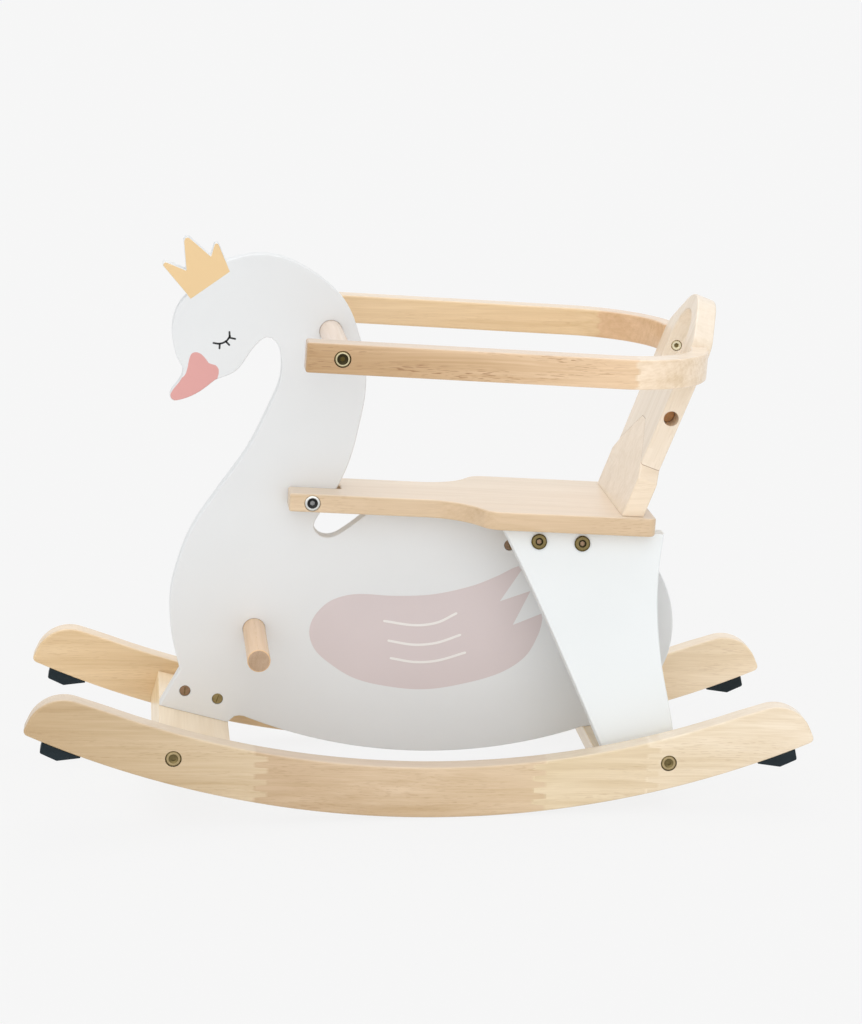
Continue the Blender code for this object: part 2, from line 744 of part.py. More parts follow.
def make_seat(wood):
    seat = add_object("seat_board", board_mesh("seat_board", seat_outline(), SEAT_THICKNESS), wood)
    turn = Matrix.Rotation(SEAT_TILT, 3, "Y")
    place(seat, Vector((0, 0, SEAT_TOP)) - turn @ Z_AXIS * SEAT_THICKNESS / 2, turn @ X_AXIS, Y_AXIS)
    round_edges(seat, BOARD_ROUND)
    return seat


def make_fork_bolt(seat, panel, steel):
    height = seat_height(FORK_BOLT_X, SEAT_THICKNESS / 2)
    face = FORK_HALF_WIDTH - FLANGE_HEIGHT - PLAY
    cap_face = Vector((FORK_BOLT_X, face, height))
    bore = SHANK_RADIUS + PLAY
    profile = (
        (bore, -CAP_SLEEVE_LENGTH),
        (CAP_SLEEVE_RADIUS, -CAP_SLEEVE_LENGTH),
        (CAP_SLEEVE_RADIUS, 0),
        (FLANGE_RADIUS, 0),
        (FLANGE_RADIUS, FLANGE_HEIGHT - FLANGE_BEVEL),
        (FLANGE_RADIUS - FLANGE_BEVEL, FLANGE_HEIGHT),
        (bore, FLANGE_HEIGHT),
        (bore, -CAP_SLEEVE_LENGTH),
    )
    nut = add_object("fork_nut", turned_mesh("fork_nut", profile, HEAD_SIDES), steel)
    aim(nut, cap_face, Y_AXIS)
    hole = (
        (0, -face),
        (bore + PLAY, -face),
        (bore + PLAY, -CAP_SLEEVE_LENGTH - PLAY),
        (CAP_SLEEVE_RADIUS + PLAY, -CAP_SLEEVE_LENGTH - PLAY),
        (CAP_SLEEVE_RADIUS + PLAY, -SEAT_GAP),
        (FLANGE_RADIUS + PLAY, -SEAT_GAP),
        (FLANGE_RADIUS + PLAY, CUT_PAST),
        (0, CUT_PAST),
    )
    turned_cutter("fork_nut", hole, cap_face, Y_AXIS, [seat])
    length = 2 * face - CAP_BOLT_GAP
    flange_bolt("fork_bolt", Vector((FORK_BOLT_X, -face, height)), -Y_AXIS, length, [seat, panel], steel)


def leg_frame(sign):
    """The middle of a leg's board at LEG_TOP_HEIGHT, its way up and its outward face's direction."""
    up = Vector((0, -sign * math.sin(LEG_SPLAY), math.cos(LEG_SPLAY)))
    out = Vector((0, sign * math.cos(LEG_SPLAY), math.sin(LEG_SPLAY)))
    middle = Vector((0, sign * LEG_TOP_Y, LEG_TOP_HEIGHT)) - out * LEG_THICKNESS / 2
    return middle, up, out


def leg_outline():
    edge = [*LEG_FRONT_EDGE, *smooth_curve(LEG_REAR_EDGE, 2 * CURVE_STEP)]
    return [Vector((x, (z - LEG_TOP_HEIGHT) / math.cos(LEG_SPLAY))) for x, z in edge]


def make_legs(blocks, trimmers, paint, steel):
    legs = {}
    block, spot = blocks["rear"]
    for side, sign in SIDES:
        middle, up, out = leg_frame(sign)
        leg = add_object("leg_" + side, board_mesh("leg_" + side, leg_outline(), LEG_THICKNESS), paint)
        place(leg, middle, X_AXIS, up)
        round_edges(leg, PAINTED_ROUND)
        for trimmer in ("rear", "seat"):
            cut(leg, trimmers[trimmer])
        legs[side] = leg
        foot_axis = spot.up.x * X_AXIS + spot.up.z * up
        top = spot.at(0, BLOCK_HEIGHT / 2)
        foot = middle + up * (top.z - LEG_TOP_HEIGHT) / math.cos(LEG_SPLAY)
        foot.x = top.x
        at = foot - foot_axis.normalized() * (BLOCK_HEIGHT - SMALL_HEAD_HEIGHT)
        small_bolt("leg_foot_bolt_" + side, at, -foot_axis, LEG_FOOT_BOLT_LENGTH, [block, leg], steel)
    return legs


def make_bearers(seat, legs, trimmers, wood, steel):
    """The wedges under the seat that the legs and the seat are fixed to."""
    for side, sign in SIDES:
        inner = PANEL_THICKNESS / 2 + SEAT_GAP
        middle, up, out = leg_frame(sign)
        face = middle - out * (LEG_THICKNESS / 2 + SEAT_GAP)

        def leg_y(height):
            return abs((face + up * (height - face.z) / up.z).y)

        top = LEG_TOP_HEIGHT + CUT_PAST
        bottom = seat_height((BEARER_FRONT + BEARER_REAR) / 2, SEAT_THICKNESS) - BEARER_HEIGHT
        section = [(inner, bottom), (leg_y(bottom), bottom), (leg_y(top), top), (inner, top)]
        outline = [Vector((sign * y, z)) for y, z in section]
        name = "seat_bearer_" + side
        bearer = add_object(name, board_mesh(name, outline, BEARER_REAR - BEARER_FRONT), wood)
        place(bearer, Vector(((BEARER_FRONT + BEARER_REAR) / 2, 0, 0)), Y_AXIS, Z_AXIS)
        cut(bearer, trimmers["seat"])
        for number, x in enumerate(LEG_BOLT_XS, 1):
            height = seat_height(x, SEAT_THICKNESS) - LEG_BOLT_DROP
            at = middle + up * (height - LEG_TOP_HEIGHT) / up.z + out * (LEG_THICKNESS / 2 + SEAT_GAP)
            at.x = x
            flange_bolt(f"leg_bolt_{side}_{number}", at, out, LEG_BOLT_LENGTH, [legs[side], bearer], steel, None)
        screw_x = (LEG_BOLT_XS[0] + LEG_BOLT_XS[-1]) / 2
        screw_y = sign * (inner + leg_y(bottom)) / 2
        at = Vector((screw_x, screw_y, bottom + SCREW_HEAD_HEIGHT + PLAY))
        wood_screw("bearer_screw_" + side, at, -Z_AXIS, BEARER_SCREW_LENGTH, [bearer, seat], steel)


def make_seat_stud(panel, seat, steel):
    """A stud that runs up from a barrel nut in the panel into the seat's underside."""
    height = seat_height(STUD_X, SEAT_THICKNESS) - STUD_NUT_DROP
    middle = Vector((STUD_X, 0, height))
    nut_y = -(PANEL_THICKNESS - NUT_LENGTH) / 2 + PLAY
    nut = barrel_nut(
        "seat_nut",
        middle + Y_AXIS * nut_y,
        -Y_AXIS,
        NUT_LENGTH,
        NUT_RADIUS,
        [panel],
        steel,
        PANEL_THICKNESS,
    )
    below = NUT_RADIUS
    profile = ((0, -below), (SHANK_RADIUS, -below), (SHANK_RADIUS, STUD_LENGTH - below), (0, STUD_LENGTH - below))
    stud = add_object("seat_stud", turned_mesh("seat_stud", profile, SHANK_SIDES), steel)
    aim(stud, middle, Z_AXIS)
    wide, low, high = SHANK_RADIUS + PLAY, -below - PLAY, STUD_LENGTH - below + PLAY
    turned_cutter("seat_stud", ((0, low), (wide, low), (wide, high), (0, high)), middle, Z_AXIS, [panel, seat, nut])


def back_frame():
    """The middle of the backrest's board where its front face meets the seat, its way up and its way back."""
    up = Vector((math.sin(BACK_LEAN), 0, math.cos(BACK_LEAN)))
    rearward = Vector((math.cos(BACK_LEAN), 0, -math.sin(BACK_LEAN)))
    foot = Vector((BACK_FOOT_X, 0, seat_height(BACK_FOOT_X)))
    return foot + rearward * BACK_THICKNESS / 2, up, rearward


def both_halves(half):
    """Corners of a symmetrical outline from those on its +X side, each written as (x, y, radius)."""
    return [*half, *((-x, y, radius) for x, y, radius in reversed(half) if x > 0)]


def back_seam(offset):
    """The seam between the backrest's two boards from its peak outwards, raised by an offset."""
    return [(BACK_PEAK_FLAT, BACK_SEAM_PEAK + offset, 0), (BACK_HIGH_HALF, BACK_SEAM + offset, 0)]


def make_backrest(seat, trimmers, wood, steel):
    middle, up, rearward = back_frame()
    low_half = [(BACK_LOW_HALF, -CUT_PAST, 0), (BACK_LOW_HALF, BACK_SHOULDER, 0), *reversed(back_seam(0))]
    mesh = board_mesh("backrest_lower", rounded(both_halves(low_half)), BACK_THICKNESS)
    lower = add_object("backrest_lower", mesh, wood)
    upper_half = [
        *back_seam(SEAT_GAP),
        (BACK_TOP_HALF, BACK_TOP_SIDE, BACK_SIDE_ROUND),
        (0, BACK_TOP, BACK_TOP_ROUND),
    ]
    hole = []
    steps = 10
    for middle_height, start in ((HAND_HOLE_HIGH, 0), (HAND_HOLE_LOW, math.pi)):
        for i in range(steps + 1):
            angle = start + math.pi * i / steps
            hole.append((HAND_HOLE_RADIUS * math.cos(angle), middle_height + HAND_HOLE_RADIUS * math.sin(angle)))
    mesh = board_mesh("backrest_upper", rounded(both_halves(upper_half)), BACK_THICKNESS, [hole])
    upper = add_object("backrest_upper", mesh, wood)
    for board in (lower, upper):
        place(board, middle, Y_AXIS, up)
        round_edges(board, BOARD_ROUND)
    cut(lower, trimmers["floor_of_backrest"])
    for side, sign in SIDES:
        nut_y = sign * BACK_BOLT_Y
        nut = barrel_nut(
            "backrest_nut_" + side,
            middle + up * BACK_NUT_HEIGHT + Y_AXIS * nut_y,
            Y_AXIS * sign,
            BACK_NUT_LENGTH,
            BACK_NUT_RADIUS,
            [upper, lower],
            steel,
            BACK_TOP_HALF,
        )
        start = middle + Y_AXIS * nut_y + up * (BACK_NUT_HEIGHT + BACK_NUT_RADIUS - BACK_BOLT_LENGTH)
        small_bolt(
            "backrest_bolt_" + side, start, -up, BACK_BOLT_LENGTH, [seat, lower, upper, nut], steel, 2 * CUT_PAST
        )
    return upper


def rail_outline(sign):
    """A guard rail seen from above: straight, and then a quarter turn that ends square on the backrest's edge."""
    end_y = BACK_TOP_HALF + SEAT_GAP
    outer, inner = RAIL_HALF_SPREAD, RAIL_HALF_SPREAD - RAIL_THICKNESS
    rise = rail_height(BACK_FOOT_X) - seat_height(BACK_FOOT_X)
    inner_x = BACK_FOOT_X + rise * math.tan(BACK_LEAN) + RAIL_END_SETBACK
    steps = 10
    outline = [Vector((RAIL_FRONT, inner)), Vector((RAIL_FRONT, outer))]
    edges = ((outer, inner_x + RAIL_END_THICKNESS, range(steps + 1)), (inner, inner_x, range(steps, -1, -1)))
    for side_y, end_x, order in edges:
        for i in order:
            angle = math.pi / 2 * i / steps
            across, out = (end_x - RAIL_BEND_X) * math.sin(angle), (side_y - end_y) * math.cos(angle)
            outline.append(Vector((RAIL_BEND_X + across, end_y + out)))
    return [Vector((x, sign * y)) for x, y in outline]


def make_rails(wood):
    rails = {}
    turn = Matrix.Rotation(RAIL_TILT, 3, "Y")
    for side, sign in SIDES:
        rail = add_object("rail_" + side, board_mesh("rail_" + side, rail_outline(sign), RAIL_HEIGHT), wood)
        place(rail, Vector((0, 0, RAIL_TOP)) - turn @ Z_AXIS * RAIL_HEIGHT / 2, turn @ X_AXIS, Y_AXIS)
        round_edges(rail, BOARD_ROUND)
        rails[side] = rail
    return rails


def make_rail_end_bolts(rails, backrest_upper, steel):
    """Bolts that run from inside the hand hole through the backrest's edge into the rails' ends."""
    middle, up, _ = back_frame()
    for side, sign in SIDES:
        at = middle + up * RAIL_END_BOLT_HEIGHT + Y_AXIS * sign * (HAND_HOLE_RADIUS + SMALL_HEAD_HEIGHT + PLAY)
        hosts = [backrest_upper, rails[side]]
        small_bolt("rail_end_bolt_" + side, at, -sign * Y_AXIS, RAIL_END_BOLT_LENGTH, hosts, steel)


def turned_bar(name, length, wood):
    half, edge = length / 2, BAR_END_ROUND
    profile = (
        (0, -half),
        (BAR_RADIUS - edge, -half),
        (BAR_RADIUS, edge - half),
        (BAR_RADIUS, half - edge),
        (BAR_RADIUS - edge, half),
        (0, half),
    )
    return add_object(name, turned_mesh(name, profile, BAR_SIDES), wood)


def make_bars(panel, rails, wood, steel):
    wide, past = BAR_RADIUS + PLAY, PANEL_THICKNESS
    hole = ((0, -past), (wide, -past), (wide, past), (0, past))
    hand_length = 2 * (RAIL_HALF_SPREAD - RAIL_THICKNESS - SEAT_GAP)
    hand_bar = turned_bar("hand_bar", hand_length, wood)
    hand_at = Vector((HAND_BAR_X, 0, rail_height(HAND_BAR_X)))
    foot_bar = turned_bar("foot_bar", FOOT_BAR_LENGTH, wood)
    foot_at = Vector((FOOT_BAR_X, 0, FOOT_BAR_HEIGHT))
    for bar, at in ((hand_bar, hand_at), (foot_bar, foot_at)):
        aim(bar, at, Y_AXIS)
        turned_cutter(bar.name, hole, at, Y_AXIS, [panel], BAR_SIDES)
    for side, sign in SIDES:
        at = hand_at + Y_AXIS * sign * (RAIL_HALF_SPREAD - FLANGE_HEIGHT - PLAY)
        flange_bolt("rail_bolt_" + side, at, sign * Y_AXIS, RAIL_BOLT_LENGTH, [rails[side], hand_bar], steel)


def main():
    clear_scene()
    wood = make_material("rubberwood", (0.62, 0.44, 0.26), 0.5)
    paint = make_material("white_paint", (0.76, 0.77, 0.76), 0.4)
    rubber = make_material("black_rubber", (0.02, 0.03, 0.035), 0.8)
    steel = make_material("bronzed_steel", (0.13, 0.10, 0.06), 0.35, 0.9)
    lean_back()
    rockers = make_rockers(wood)
    make_stops(rockers, rubber, steel)
    blocks = make_blocks(rockers, wood, steel)
    trimmers = make_trimmers(blocks)
    panel = make_panel(blocks, trimmers, paint, steel)
    seat = make_seat(wood)
    make_fork_bolt(seat, panel, steel)
    legs = make_legs(blocks, trimmers, paint, steel)
    make_bearers(seat, legs, trimmers, wood, steel)
    make_seat_stud(panel, seat, steel)
    backrest_upper = make_backrest(seat, trimmers, wood, steel)
    rails = make_rails(wood)
    make_rail_end_bolts(rails, backrest_upper, steel)
    make_bars(panel, rails, wood, steel)


main()
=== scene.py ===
"""The looks of a toddler's wooden rocking swan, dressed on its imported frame.

Boards are laid out on the level toy, where X runs along the rockers and Z is up. LEAN then sets them on
the frame, which leans back a little. Sizes are in metres.
"""

import math

import bmesh
import bpy
import numpy as np
from mathutils import Matrix, Vector


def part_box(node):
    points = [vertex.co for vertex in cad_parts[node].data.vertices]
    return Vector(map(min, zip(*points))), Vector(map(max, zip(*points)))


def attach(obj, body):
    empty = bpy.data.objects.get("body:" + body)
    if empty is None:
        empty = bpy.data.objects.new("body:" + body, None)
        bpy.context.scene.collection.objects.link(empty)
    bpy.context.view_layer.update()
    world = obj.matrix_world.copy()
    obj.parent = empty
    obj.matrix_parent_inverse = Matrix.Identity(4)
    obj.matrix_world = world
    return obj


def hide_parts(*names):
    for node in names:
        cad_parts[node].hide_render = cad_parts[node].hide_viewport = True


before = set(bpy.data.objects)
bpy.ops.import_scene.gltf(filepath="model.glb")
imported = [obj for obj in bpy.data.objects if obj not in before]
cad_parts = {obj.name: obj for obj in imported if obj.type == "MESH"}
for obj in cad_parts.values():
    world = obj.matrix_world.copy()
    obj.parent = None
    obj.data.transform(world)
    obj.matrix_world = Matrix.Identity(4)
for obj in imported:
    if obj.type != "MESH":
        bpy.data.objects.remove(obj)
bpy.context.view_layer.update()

# Camera, fitted to the photograph
CAMERA_PLACE = (-0.2521, -2.6465, 0.8814)
CAMERA_YAW = math.radians(5.867)
CAMERA_PITCH = math.radians(12.985)
CAMERA_LENS = 98.09
SENSOR_WIDTH = 36.0

# Light
BACKDROP = (0.923, 0.923, 0.923)
AMBIENT = 0.54
FLOOR_ALBEDO = 0.93
FLOOR_SHADOW_SHARE = 0.08
LIGHTS = (
    # name, strength, and in degrees: height over the horizon, turn from the camera's side, softness
    ("front light", 1.16, 24, -8, 80),
    ("top light", 1.18, 78, 165, 60),
)
FLOOR_DROP = 0.0002
FLOOR_HALF = 30.0

# Fits
SEAT_GAP = 0.0003
PLAY = 0.0003
PAINT_FILM = 0.0001
FEATHER_FILM = 1.6 * PAINT_FILM

# Rockers
ROCKER_LENGTH = 0.750
ROCKER_RADIUS = 0.937
ROCKER_DEPTH = 0.050
ROCKER_THICKNESS = 0.022
ROCKER_SPREAD = 0.272
ROCKER_MIDDLE = (ROCKER_SPREAD - ROCKER_THICKNESS) / 2
REST_TILT = math.radians(2.4)
NOSE_SETBACK = 0.019
NOSE_DROP = 0.0045
NOSE_ROUND = 0.036
TOE_ROUND = 0.00485
TOP_ARC_END = 0.300
ARC_STEP = math.radians(0.4)

# Edges, and the angles over which they are rounded, and are shaded sharp
BOARD_ROUND = 0.0022
BACKREST_ROUND = 0.0018
SEAM_ROUND = 0.0003
PAINTED_ROUND = 0.0015
ROUNDED_ANGLE = math.radians(40)
SHARP_ANGLE = math.radians(35)

# How far cutters reach past what they cut
BORE_REACH = 0.02
TRIM_REACH = 0.1
TRIM_DEPTH = 0.080

# Rubber stops
STOP_INNER = 0.323
STOP_LOW = 0.345
STOP_OUTER = 0.361
STOP_CHAMFER = 0.0025
STOP_ROUND = 0.002
STOP_DEPTH_INNER = 0.0012
STOP_DEPTH_LOW = 0.0125
STOP_DEPTH_OUTER = 0.0115
STOP_THICKNESS = 0.020
STOP_EDGE = 0.0008

# Cross blocks
BLOCK_WIDTH = 0.070
BLOCK_HEIGHT = 0.030
BLOCK_RISE = 0.0212
BLOCK_ANGLES = {"front": math.radians(-13.8), "rear": math.radians(13.3)}

# Swan panel
PANEL_THICKNESS = 0.018
PANEL_NUT_BORE = 0.028

# Seat
SEAT_THICKNESS = 0.018
SEAT_TOP = 0.2895
SEAT_TILT = math.radians(1.6)
SEAT_FRONT = -0.129
SEAT_REAR = 0.221
SEAT_HALF_WIDTH = 0.083
FORK_HALF_WIDTH = 0.0414
FLARE_START = 0.012
FLARE_END = 0.060
SLOT_END = -0.078
SEAT_CORNER_ROUND = 0.008
FLARE_ROUND = 0.055
FLARE_CORNER_ROUND = 0.022

# Legs
LEG_THICKNESS = 0.018
LEG_SPLAY = math.radians(10.7)
LEG_TOP_Y = 0.065
LEG_TOP_HEIGHT = 0.268

# Backrest
BACK_THICKNESS = 0.020
BACK_LEAN = math.radians(19.7)
BACK_FOOT_X = 0.188
BACK_FOOT_REACH = 0.012  # into the seat, before it is trimmed
BACK_LOW_HALF = 0.075
BACK_HIGH_HALF = 0.0615
BACK_TOP_HALF = 0.066
BACK_SHOULDER = 0.040
BACK_SEAM = 0.052
BACK_SEAM_PEAK = 0.088
BACK_TOP_SIDE = 0.180
BACK_TOP = 0.229
BACK_SIDE_ROUND = 0.022
BACK_TOP_ROUND = 0.044
BACK_PEAK_FLAT = 0.008
HAND_HOLE_LOW = 0.156
HAND_HOLE_HIGH = 0.170
HAND_HOLE_RADIUS = 0.032
HAND_HOLE_STEPS = 32

# Guard rails
RAIL_HEIGHT = 0.028
RAIL_THICKNESS = 0.024
RAIL_HALF_SPREAD = 0.1653
RAIL_TOP = 0.4564
RAIL_FRONT = -0.125
RAIL_TILT = math.radians(1.75)
RAIL_BEND_X = 0.162
RAIL_END_THICKNESS = 0.0165
RAIL_END_SETBACK = 0.0025

# Hand bar and foot bar
BAR_RADIUS = 0.011
BAR_END_ROUND = 0.0015
BAR_SIDES = 64

# Hardware
HEAD_PLAY = 0.00022
SOCKET_ACROSS = 0.0044
SOCKET_DEPTH = 0.0019
DISH_DEPTH = 0.0009
RING_SHARE = 0.84
CAP_BORE_RADIUS = 0.0033
CAP_SLEEVE_RADIUS = 0.0045
CAP_SLEEVE_LENGTH = 0.018
HEAD_SIDES = 48
EDGE_BREAK = 0.0002
SHANK_CHAMFER = 0.0006
RING_EDGE = 0.0001
DISH_LIP = 0.0003
DISH_FLOOR_SHARE = 0.40
SOCKET_REACH = 0.002
BOLT_CREST = 0.86
CAP_CREST = 0.88
CAP_RING_SHARE = 0.87
CAP_BORE_CHAMFER = 0.0004
NUT_ROUND = 0.0006
SLOT_SHARE = 1.4  # of the nut's radius
SLOT_WIDTH = 0.0010
SLOT_HEIGHT = 0.0009
SLOT_TURN = 0.5
SLOT_TURN_ALONG = 9  # radians for each metre along the toy, so that no two slots point the same way
WIDEST_SHARE = 0.95  # of the largest radius, from which a point belongs to the head
TIP_STRETCH = 0.0005  # of a shank, where its radius is read
END_FACING = 0.9  # how squarely an end face looks along its axis, at least
PAINTED_FACING = 0.8  # how squarely a painted face looks sideways, at least

# The swan panel's outline, front foot first and then over the head to the tail, as x and height.
FOOT_FRONT = ((-0.2487, 0.055), (-0.2487, 0.0715), (-0.2295, 0.107))
CHEST = (
    (-0.2295, 0.107),
    (-0.2385, 0.145),
    (-0.2408, 0.178),
    (-0.2360, 0.208),
    (-0.2220, 0.248),
    (-0.1970, 0.288),
    (-0.1700, 0.328),
    (-0.1510, 0.368),
    (-0.1400, 0.397),
    (-0.1395, 0.420),
    (-0.1450, 0.434),
    (-0.1540, 0.438),
    (-0.1650, 0.429),
    (-0.1820, 0.405),
    (-0.2020, 0.3955),
)
BEAK = (
    (-0.2020, 0.3955),
    (-0.2170, 0.3835),
    (-0.2300, 0.3770),
    (-0.2420, 0.3745),
    (-0.2452, 0.3785),
    (-0.2430, 0.3845),
    (-0.2345, 0.3965),
    (-0.2330, 0.4065),
)
FACE = (
    (-0.2330, 0.4065),
    (-0.2395, 0.4180),
    (-0.2440, 0.4380),
    (-0.2438, 0.4500),
    (-0.2413, 0.4603),
    (-0.2368, 0.4693),
    (-0.2303, 0.4769),
)
CROWN_FRONT = ((-0.2303, 0.4769), (-0.2540, 0.5040))
CROWN_FRONT_TIP = ((-0.2540, 0.5040), (-0.2543, 0.5068), (-0.2515, 0.5080))
CROWN_MIDDLE = ((-0.2320, 0.5005), (-0.2351, 0.5294), (-0.2323, 0.5326), (-0.2291, 0.5311))
CROWN_REAR = ((-0.2090, 0.5145), (-0.2060, 0.5258), (-0.2037, 0.5277), (-0.2015, 0.5256), (-0.1948, 0.5103))
NAPE = (
    (-0.1948, 0.5103),
    (-0.1893, 0.5121),
    (-0.1750, 0.5163),
    (-0.1600, 0.5177),
    (-0.1450, 0.5162),
    (-0.1300, 0.5115),
    (-0.1150, 0.5040),
    (-0.1000, 0.4940),
    (-0.0850, 0.4810),
    (-0.0745, 0.4665),
    (-0.0680, 0.4510),
    (-0.0590, 0.4210),
    (-0.0570, 0.3900),
    (-0.0610, 0.3600),
    (-0.0700, 0.3200),
    (-0.0830, 0.2890),
    (-0.0975, 0.2660),
    (-0.1030, 0.2540),
    (-0.0975, 0.2450),
    (-0.0880, 0.2428),
    (-0.0780, 0.2465),
    (-0.0540, 0.2652),
    (-0.0400, 0.2800),
)
TAIL = (
    (0.1998, 0.2765),
    (0.2080, 0.2620),
    (0.2230, 0.2380),
    (0.2410, 0.2130),
    (0.2530, 0.1860),
    (0.2575, 0.1580),
    (0.2550, 0.1320),
    (0.2480, 0.1120),
)
FOOT_REAR = ((0.2480, 0.1120), (0.2400, 0.0690), (0.2400, 0.0550))
BELLY_RADIUS = 0.485
BELLY_X = 0.013
BELLY_HEIGHT = 0.026
BELLY_FRONT = -0.166
BELLY_REAR = 0.172
HEEL = ((-0.1708, 0.0607), (-0.1750, 0.0598), (-0.1810, 0.0545), (-0.1900, 0.0480))
CURVE_STEP = 0.004

# A leg's edges on its outer face, from the top down, as x and height.
LEG_FRONT_EDGE = ((0.0715, 0.275), (0.0876, 0.245), (0.1105, 0.200), (0.1348, 0.150), (0.1860, 0.040))
LEG_REAR_EDGE = (
    (0.2490, 0.040),
    (0.2455, 0.078),
    (0.2400, 0.107),
    (0.2330, 0.140),
    (0.2285, 0.175),
    (0.2270, 0.205),
    (0.2285, 0.238),
    (0.2335, 0.275),
)

# Painted decoration, as x and height.
CROWN_PAINT_BASE = ((-0.2600, 0.5109), (-0.2271, 0.4734), (-0.1908, 0.5003))
CROWN_PAINT_REACH = ((-0.2100, 0.5450), (-0.2600, 0.5450))
BEAK_PAINT_EDGE = (
    (-0.2350, 0.3958),
    (-0.2308, 0.4000),
    (-0.2286, 0.4070),
    (-0.2272, 0.4150),
    (-0.2250, 0.4205),
    (-0.2210, 0.4220),
    (-0.2166, 0.4207),
    (-0.2121, 0.4165),
    (-0.2088, 0.4120),
)
BEAK_PAINT_CHEEK = (
    (-0.2088, 0.4120),
    (-0.2054, 0.4107),
    (-0.2018, 0.4097),
    (-0.1991, 0.4061),
    (-0.1989, 0.4020),
)
BEAK_PAINT_REACH = ((-0.2010, 0.3930), (-0.2010, 0.3600), (-0.2600, 0.3600), (-0.2600, 0.3958))
WING_TOP = (
    (-0.1040, 0.1480),
    (-0.0990, 0.1640),
    (-0.0840, 0.1790),
    (-0.0610, 0.1860),
    (-0.0210, 0.1850),
    (0.0160, 0.1870),
    (0.0540, 0.1960),
    (0.0780, 0.2060),
    (0.1000, 0.2170),
    (0.1030, 0.2130),
)
WING_NOTCHES = ((0.1030, 0.2130), (0.0830, 0.1810), (0.1130, 0.1920), (0.0970, 0.1570), (0.1250, 0.1690))
WING_LOW = (
    (0.1250, 0.1690),
    (0.1262, 0.1640),
    (0.1230, 0.1480),
    (0.1110, 0.1250),
    (0.0870, 0.1080),
    (0.0490, 0.0960),
    (0.0110, 0.0900),
    (-0.0270, 0.0930),
    (-0.0590, 0.1010),
    (-0.0850, 0.1170),
    (-0.0990, 0.1310),
    (-0.1040, 0.1480),
)
FEATHER_STROKES = (
    ((-0.0305, 0.1593), (-0.0007, 0.1555), (0.0216, 0.1584), (0.0402, 0.1680)),
    ((-0.0255, 0.1393), (-0.0002, 0.1356), (0.0221, 0.1378), (0.0450, 0.1461)),
    ((-0.0225, 0.1215), (0.0011, 0.1179), (0.0234, 0.1196), (0.0507, 0.1281)),
)
FEATHER_STROKE_WIDTH = 0.0024
EYE_STROKES = (
    ((-0.2045, 0.4314), (-0.1985, 0.4309), (-0.1925, 0.4334), (-0.1890, 0.4384)),
    ((-0.1985, 0.4309), (-0.1987, 0.4264)),
    ((-0.1930, 0.4334), (-0.1895, 0.4299)),
    ((-0.1895, 0.4369), (-0.1840, 0.4359)),
    ((-0.1893, 0.4384), (-0.1896, 0.4424)),
)
EYE_STROKE_WIDTH = 0.0018
PAINT_STEP = 0.0012
STROKE_END_STEPS = 6

SIDES = (("left", -1), ("right", 1))
ENDS = (("front", -1), ("rear", 1))
ROWS = ("inner", "outer")
BARS = ("hand_bar", "foot_bar")
X_AXIS = Vector((1, 0, 0))
Y_AXIS = Vector((0, 1, 0))
Z_AXIS = Vector((0, 0, 1))


def smooth_curve(points, step=CURVE_STEP):
    """Points on a curve that runs smoothly through the given ones, which include its two ends."""
    points = [Vector(p) for p in points]
    ends = [2 * points[0] - points[1], *points, 2 * points[-1] - points[-2]]
    curve = []
    for before, start, end, after in zip(ends, ends[1:], ends[2:], ends[3:]):
        length = (end - start).length
        lead_in = (end - before) / max((start - before).length + length, 1e-9) * length
        lead_out = (after - start) / max((after - end).length + length, 1e-9) * length
        count = max(1, round(length / step))
        for i in range(count):
            t = i / count
            curve.append(
                (2 * t**3 - 3 * t**2 + 1) * start
                + (t**3 - 2 * t**2 + t) * lead_in
                + (3 * t**2 - 2 * t**3) * end
                + (t**3 - t**2) * lead_out
            )
    return [*curve, points[-1]]


def corner_arc(before, corner, after, radius, steps=10):
    """Points of the arc that rounds a corner."""
    before, corner, after = Vector(before), Vector(corner), Vector(after)
    toward_before = (before - corner).normalized()
    toward_after = (after - corner).normalized()
    half = toward_before.angle(toward_after) / 2
    reach = min(radius / math.tan(half), (before - corner).length, (after - corner).length)
    radius = reach * math.tan(half)
    middle = corner + (toward_before + toward_after).normalized() * math.hypot(reach, radius)
    start = corner + toward_before * reach - middle
    end = corner + toward_after * reach - middle
    sweep = start.angle_signed(end)
    return [middle + Matrix.Rotation(-sweep * i / steps, 2) @ start for i in range(steps + 1)]


def rounded(corners, steps=10):
    """An outline from corners, each written as (x, y, radius)."""
    outline = []
    for i, (x, y, radius) in enumerate(corners):
        if radius == 0:
            outline.append(Vector((x, y)))
            continue
        before = corners[i - 1][:2]
        after = corners[(i + 1) % len(corners)][:2]
        outline += corner_arc(before, (x, y), after, radius, steps)
    return outline


def joined(stretches):
    """One outline from stretches that share their ends."""
    outline = []
    for stretch in stretches:
        for x, y in stretch:
            if not outline or (Vector((x, y)) - outline[-1]).length > 1e-5:
                outline.append(Vector((x, y)))
    if (outline[0] - outline[-1]).length < 1e-5:
        outline.pop()
    return outline


def stroke_outline(path, width, step=0.0015):
    """The outline of a painted stroke of one width along a path, with round ends."""
    line = smooth_curve(path, step)
    left, right = [], []
    for i, point in enumerate(line):
        along = (line[min(i + 1, len(line) - 1)] - line[max(i - 1, 0)]).normalized()
        across = Vector((-along.y, along.x)) * width / 2
        left.append(point + across)
        right.append(point - across)
    turns = [Matrix.Rotation(-math.pi * i / STROKE_END_STEPS, 2) for i in range(1, STROKE_END_STEPS)]
    caps = []
    for tip, start in ((line[-1], left[-1]), (line[0], right[0])):
        caps.append([tip + turn @ (start - tip) for turn in turns])
    return [*left, *caps[0], *reversed(right), *caps[1]]


def rectangle(x_start, x_end, y_start, y_end):
    corners = ((x_start, y_start), (x_end, y_start), (x_end, y_end), (x_start, y_end))
    return [Vector(corner) for corner in corners]


